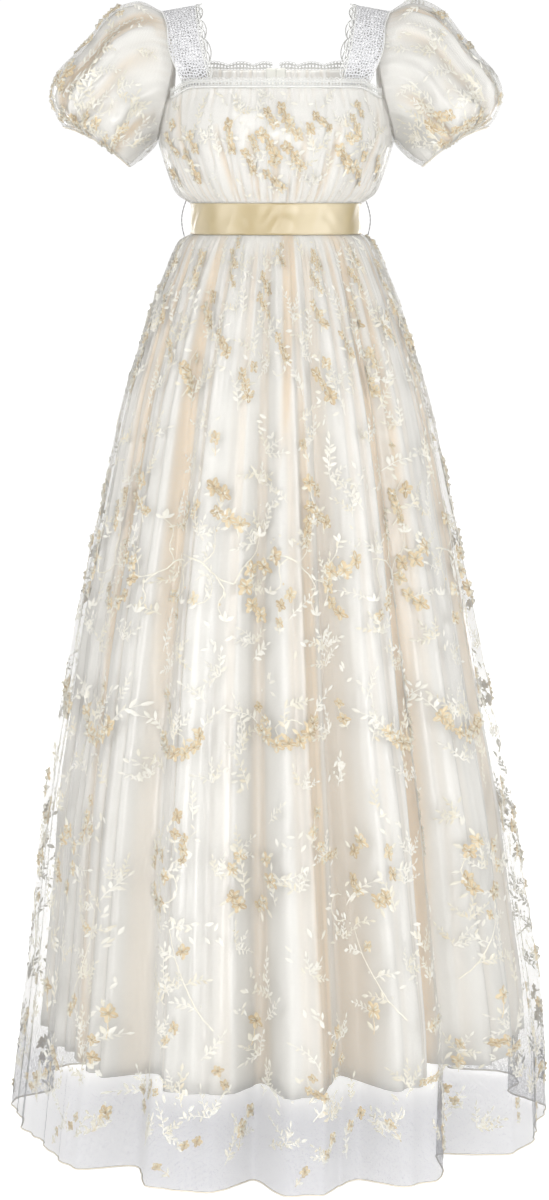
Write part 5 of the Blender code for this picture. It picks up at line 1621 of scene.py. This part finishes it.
# Sprays on a sleeve: degrees round it, rings along it, kind, size and turn
SLEEVE_SPRAYS = [
    (338, 1.4, cream_sprig, 0.9, 30), (312, 2, long_spray, 0.8, -30), (286, 1.2, cream_sprig, 0.85, 10),
    (262, 1.8, cream_sprig, 0.95, 50), (350, 3, cluster, 0.8, 60), (322, 3.4, cream_sprig, 1, -20),
    (298, 3.2, long_spray, 0.9, 20), (274, 3.3, tendril, 0.9, 0), (250, 3.2, cream_sprig, 0.9, 20),
    (336, 4.5, cluster, 0.85, 20), (312, 4.6, cream_sprig, 1, 40), (288, 4.7, cream_sprig, 0.9, -30),
    (266, 4.6, cluster, 0.85, 30), (244, 4.8, cluster, 0.8, 0), (228, 3.8, cream_sprig, 0.9, 30),
    (318, 5.8, cluster, 0.75, 70), (292, 6, scattered, 0.9, 0), (256, 5.9, cluster, 0.75, 80),
    (232, 5.6, scattered, 0.9, 0), (226, 1.6, scattered, 1, 0), (204, 2.6, cream_sprig, 0.9, 40),
    (14, 2, long_spray, 0.8, 20), (6, 4.4, cream_sprig, 0.95, -40), (34, 3.2, cluster, 0.85, 20),
    (40, 1.3, cream_sprig, 0.9, -20), (62, 2.2, long_spray, 0.85, 30), (58, 4.2, cream_sprig, 0.95, 20),
    (84, 3.3, cream_sprig, 0.95, -30), (88, 1.4, scattered, 1.1, 0), (82, 4.9, cluster, 0.85, 10),
    (108, 2.4, cream_sprig, 0.9, 20), (112, 4.2, cluster, 0.85, -20), (134, 3.2, cream_sprig, 0.9, 30),
    (32, 5.4, cluster, 0.8, 60), (104, 5.8, scattered, 0.9, 0), (160, 2.4, scattered, 1, 0),
    (306, 0.9, scattered, 0.9, 0), (330, 2.4, scattered, 1, 20), (264, 2.6, leafy, 1, 30),
    (300, 2.3, leafy, 0.95, -20), (282, 5.5, cluster, 0.85, 40), (246, 2.2, leafy, 0.95, 0),
    (236, 4.3, leafy, 1, 60), (326, 4, cluster, 0.9, -30), (268, 5.3, leafy, 0.95, 10),
    (300, 5.4, cluster, 0.85, -50), (344, 2, cluster, 0.9, 20), (302, 4, leafy, 1.05, 80),
    (280, 3.9, leafy, 0.95, -60), (222, 2.8, leafy, 0.9, 20), (20, 4.2, leafy, 1, 0),
    (50, 3.4, leafy, 1, 40), (96, 3.2, leafy, 0.95, 0), (74, 5.6, cluster, 0.85, 30),
]


FULLNESS = 1.12
SKIRT_FULLNESS = 1.05
WAIST_FULLNESS = 0.75
WAIST_FULLNESS_FADE = 0.14
# The highest and lowest place for a stitch, and a small step down the piece
SKIRT_STITCHES = (0.002, NET_LENGTH - 0.0015, 0.004)
BODICE_STITCHES = (0.01, 0.99, 0.02)
SLEEVE_STITCHES = (0.12, 6.95, 0.1)
# Where the random draws of each piece start
SKIRT_SEED = 11
BODICE_SEED = 23
SLEEVE_SEEDS = {"left": 31, "right": 37}


def skirt_fullness(drop):
    """The gathers hide cloth near the waist, so the sprays look narrower there."""
    return SKIRT_FULLNESS + WAIST_FULLNESS * math.exp(-drop / WAIST_FULLNESS_FADE)


def plain_fullness(down):
    """The bodice and the sleeves are gathered alike all over."""
    return FULLNESS


def embroider_skirts():
    dice = random.Random(SKIRT_SEED)
    sprays = {side: [] for side, start, end in SKIRT_PANELS}
    for row in SKIRT_SPRAYS:
        for n in range(row.count):
            angle = row.first + 360.0 * (n + dice.uniform(-0.16, 0.16)) / row.count
            angle = (angle + 90.0) % 360.0 - 90.0
            drop = row.drop + dice.uniform(-row.stray, row.stray)
            spin = dice.uniform(-row.spin, row.spin)
            shape = turned(row.kind(dice), spin, row.size * dice.uniform(0.92, 1.1))
            for side, start, end in SKIRT_PANELS:
                if start <= angle < end:
                    sprays[side].append((shape, angle, drop))
    for side, start, end in SKIRT_PANELS:
        embroider("overskirt_" + side, "embroidery_skirt_" + side, overskirt, skirt_fullness,
                  SKIRT_STITCHES, sprays[side])


def embroider_bodices():
    dice = random.Random(BODICE_SEED)
    made = [(turned(kind(dice), spin, size), angle, share)
            for angle, share, kind, size, spin in BODICE_SPRAYS]
    for side, start, end in BODICE_PANELS:
        embroider("bodice_net_" + side, "embroidery_bodice_" + side, bodice_net, plain_fullness,
                  BODICE_STITCHES, [spray for spray in made if start <= spray[1] < end])


def embroider_sleeves():
    for side, sign in SIDES:
        dice = random.Random(SLEEVE_SEEDS[side])
        sprays = []
        for turn, ring, kind, size, spin in SLEEVE_SPRAYS:
            place = turn if turn >= 180.0 else turn + 360.0
            place = sign * (place + dice.uniform(-7, 7))
            shape = turned(kind(dice), spin * sign + dice.uniform(-15, 15), size)
            sprays.append((shape, place, ring + dice.uniform(-0.25, 0.25)))
        embroider("sleeve_net_" + side, "embroidery_sleeve_" + side,
                  on_side(of_sleeve(sleeve_net, sign), sign), plain_fullness, SLEEVE_STITCHES, sprays)


THREAD = make_thread("embroidery_thread", [
    (0.0, (0.38, 0.27, 0.15)), (0.16, (0.55, 0.415, 0.235)), (0.32, (0.64, 0.52, 0.33)),
    (0.48, (0.69, 0.61, 0.45)), (0.62, (0.7, 0.67, 0.57)), (0.9, (0.745, 0.73, 0.67)),
    (1.0, (0.8, 0.79, 0.74)),
])
embroider_skirts()
embroider_bodices()
embroider_sleeves()


# ---------------------------------------------------------------- the kind of record for a cloth piece's cut

# Width and length of the cloth laid flat and its area, in metres, how it is held, and what
# it is sewn to
Cut = namedtuple("Cut", "width length area held sewn_to")


# ---------------------------------------------------------------- light, floor and camera

IMAGE_HEIGHT = 1200
FOCAL_PIXELS = 2965.27
SENSOR = 36.0
CAMERA_PLACE = (-0.0019, -3.8, -0.243307)
CAMERA_TILT = 7.682541
FLOOR_Z = -1.4395
FLOOR_RADIUS = 30.0
FLOOR_GLOW = 0.72
ROOM_LIGHT = 0.58
ROOM_SEEN = 1.05
PAPER_WHITE = (1.0, 1.0, 1.0)
# Each soft box: its place, what it points at, width, height, power and spread in degrees
SOFT_BOXES = [
    ("left_strip", (-2.5, -2.2, -0.7), (0.0, 0.0, -0.8), 0.4, 3.0, 36.0, 180.0),
    ("right_strip", (2.5, -2.0, -0.7), (0.0, 0.0, -0.8), 0.4, 3.0, 43.0, 180.0),
    ("front_strip", (0.4, -4.4, -1.0), (0.0, 0.0, -1.0), 0.5, 2.6, 107.0, 180.0),
    ("soft_key", (-1.2, -3.4, 1.6), (0.0, 0.0, -0.9), 1.2, 1.2, 36.0, 180.0),
    ("back_left_strip", (1.8, 3.4, -0.8), (0.0, 0.0, -0.8), 0.5, 2.6, 56.0, 180.0),
    ("back_right_strip", (-1.8, 3.4, -0.8), (0.0, 0.0, -0.8), 0.5, 2.6, 44.0, 180.0),
    ("neck_light", (0.0, -0.5, 0.42), (0.0, 0.09, -0.085), 0.16, 0.05, 0.05, 24.0),
]


def put_up(name, data, place):
    item = bpy.data.objects.new(name, data)
    item.location = place
    bpy.context.collection.objects.link(item)
    return item


def soft_box(name, place, target, width, height, power, spread):
    lamp = bpy.data.lights.new(name, "AREA")
    lamp.shape = "RECTANGLE"
    lamp.size = width
    lamp.size_y = height
    lamp.energy = power
    lamp.spread = math.radians(spread)
    turn = (Vector(target) - Vector(place)).to_track_quat("-Z", "Y").to_euler()
    put_up(name, lamp, place).rotation_euler = turn


def make_floor():
    """Pale paper that glows a little where it is seen."""
    floor = bmesh.new()
    bmesh.ops.create_circle(floor, cap_ends=True, segments=96, radius=FLOOR_RADIUS)
    bmesh.ops.translate(floor, verts=floor.verts, vec=(0.0, 0.0, FLOOR_Z))
    mesh = bpy.data.meshes.new("studio_floor")
    floor.to_mesh(mesh)
    floor.free()
    material, tree, shader = finish("studio_paper", 0.9, specular=0.1)
    colour_cloth(tree, shader, (0.96, 0.96, 0.96), (0.94, 0.94, 0.94), scale=0.5)
    seen = add(tree, "LightPath")["Is Camera Ray"]
    glow = add(tree, "Math", {0: seen, 1: FLOOR_GLOW}, operation="MULTIPLY")
    feed(shader, {"Emission Color": PAPER_WHITE, "Emission Strength": glow["Value"]})
    link("studio_floor", mesh, material)


def make_room():
    """A white room, brighter where it is seen than where it lights the gown."""
    world = bpy.data.worlds.new("studio")
    bpy.context.scene.world = world
    world.use_nodes = True
    tree = world.node_tree
    seen = add(tree, "LightPath")["Is Camera Ray"]
    strength = add(tree, "MapRange", {"Value": seen, "To Min": ROOM_LIGHT, "To Max": ROOM_SEEN})
    feed(tree.nodes["Background"], {"Color": PAPER_WHITE, "Strength": strength["Result"]})
    bpy.context.scene.view_settings.view_transform = "Standard"


def make_camera():
    camera = bpy.data.cameras.new("camera")
    camera.sensor_fit = "VERTICAL"
    camera.sensor_height = SENSOR
    camera.lens = FOCAL_PIXELS / IMAGE_HEIGHT * SENSOR
    item = put_up("camera", camera, CAMERA_PLACE)
    item.rotation_euler = (math.radians(90.0 - CAMERA_TILT), 0.0, 0.0)
    bpy.context.scene.camera = item


make_floor()
make_room()
for box in SOFT_BOXES:
    soft_box(*box)
make_camera()
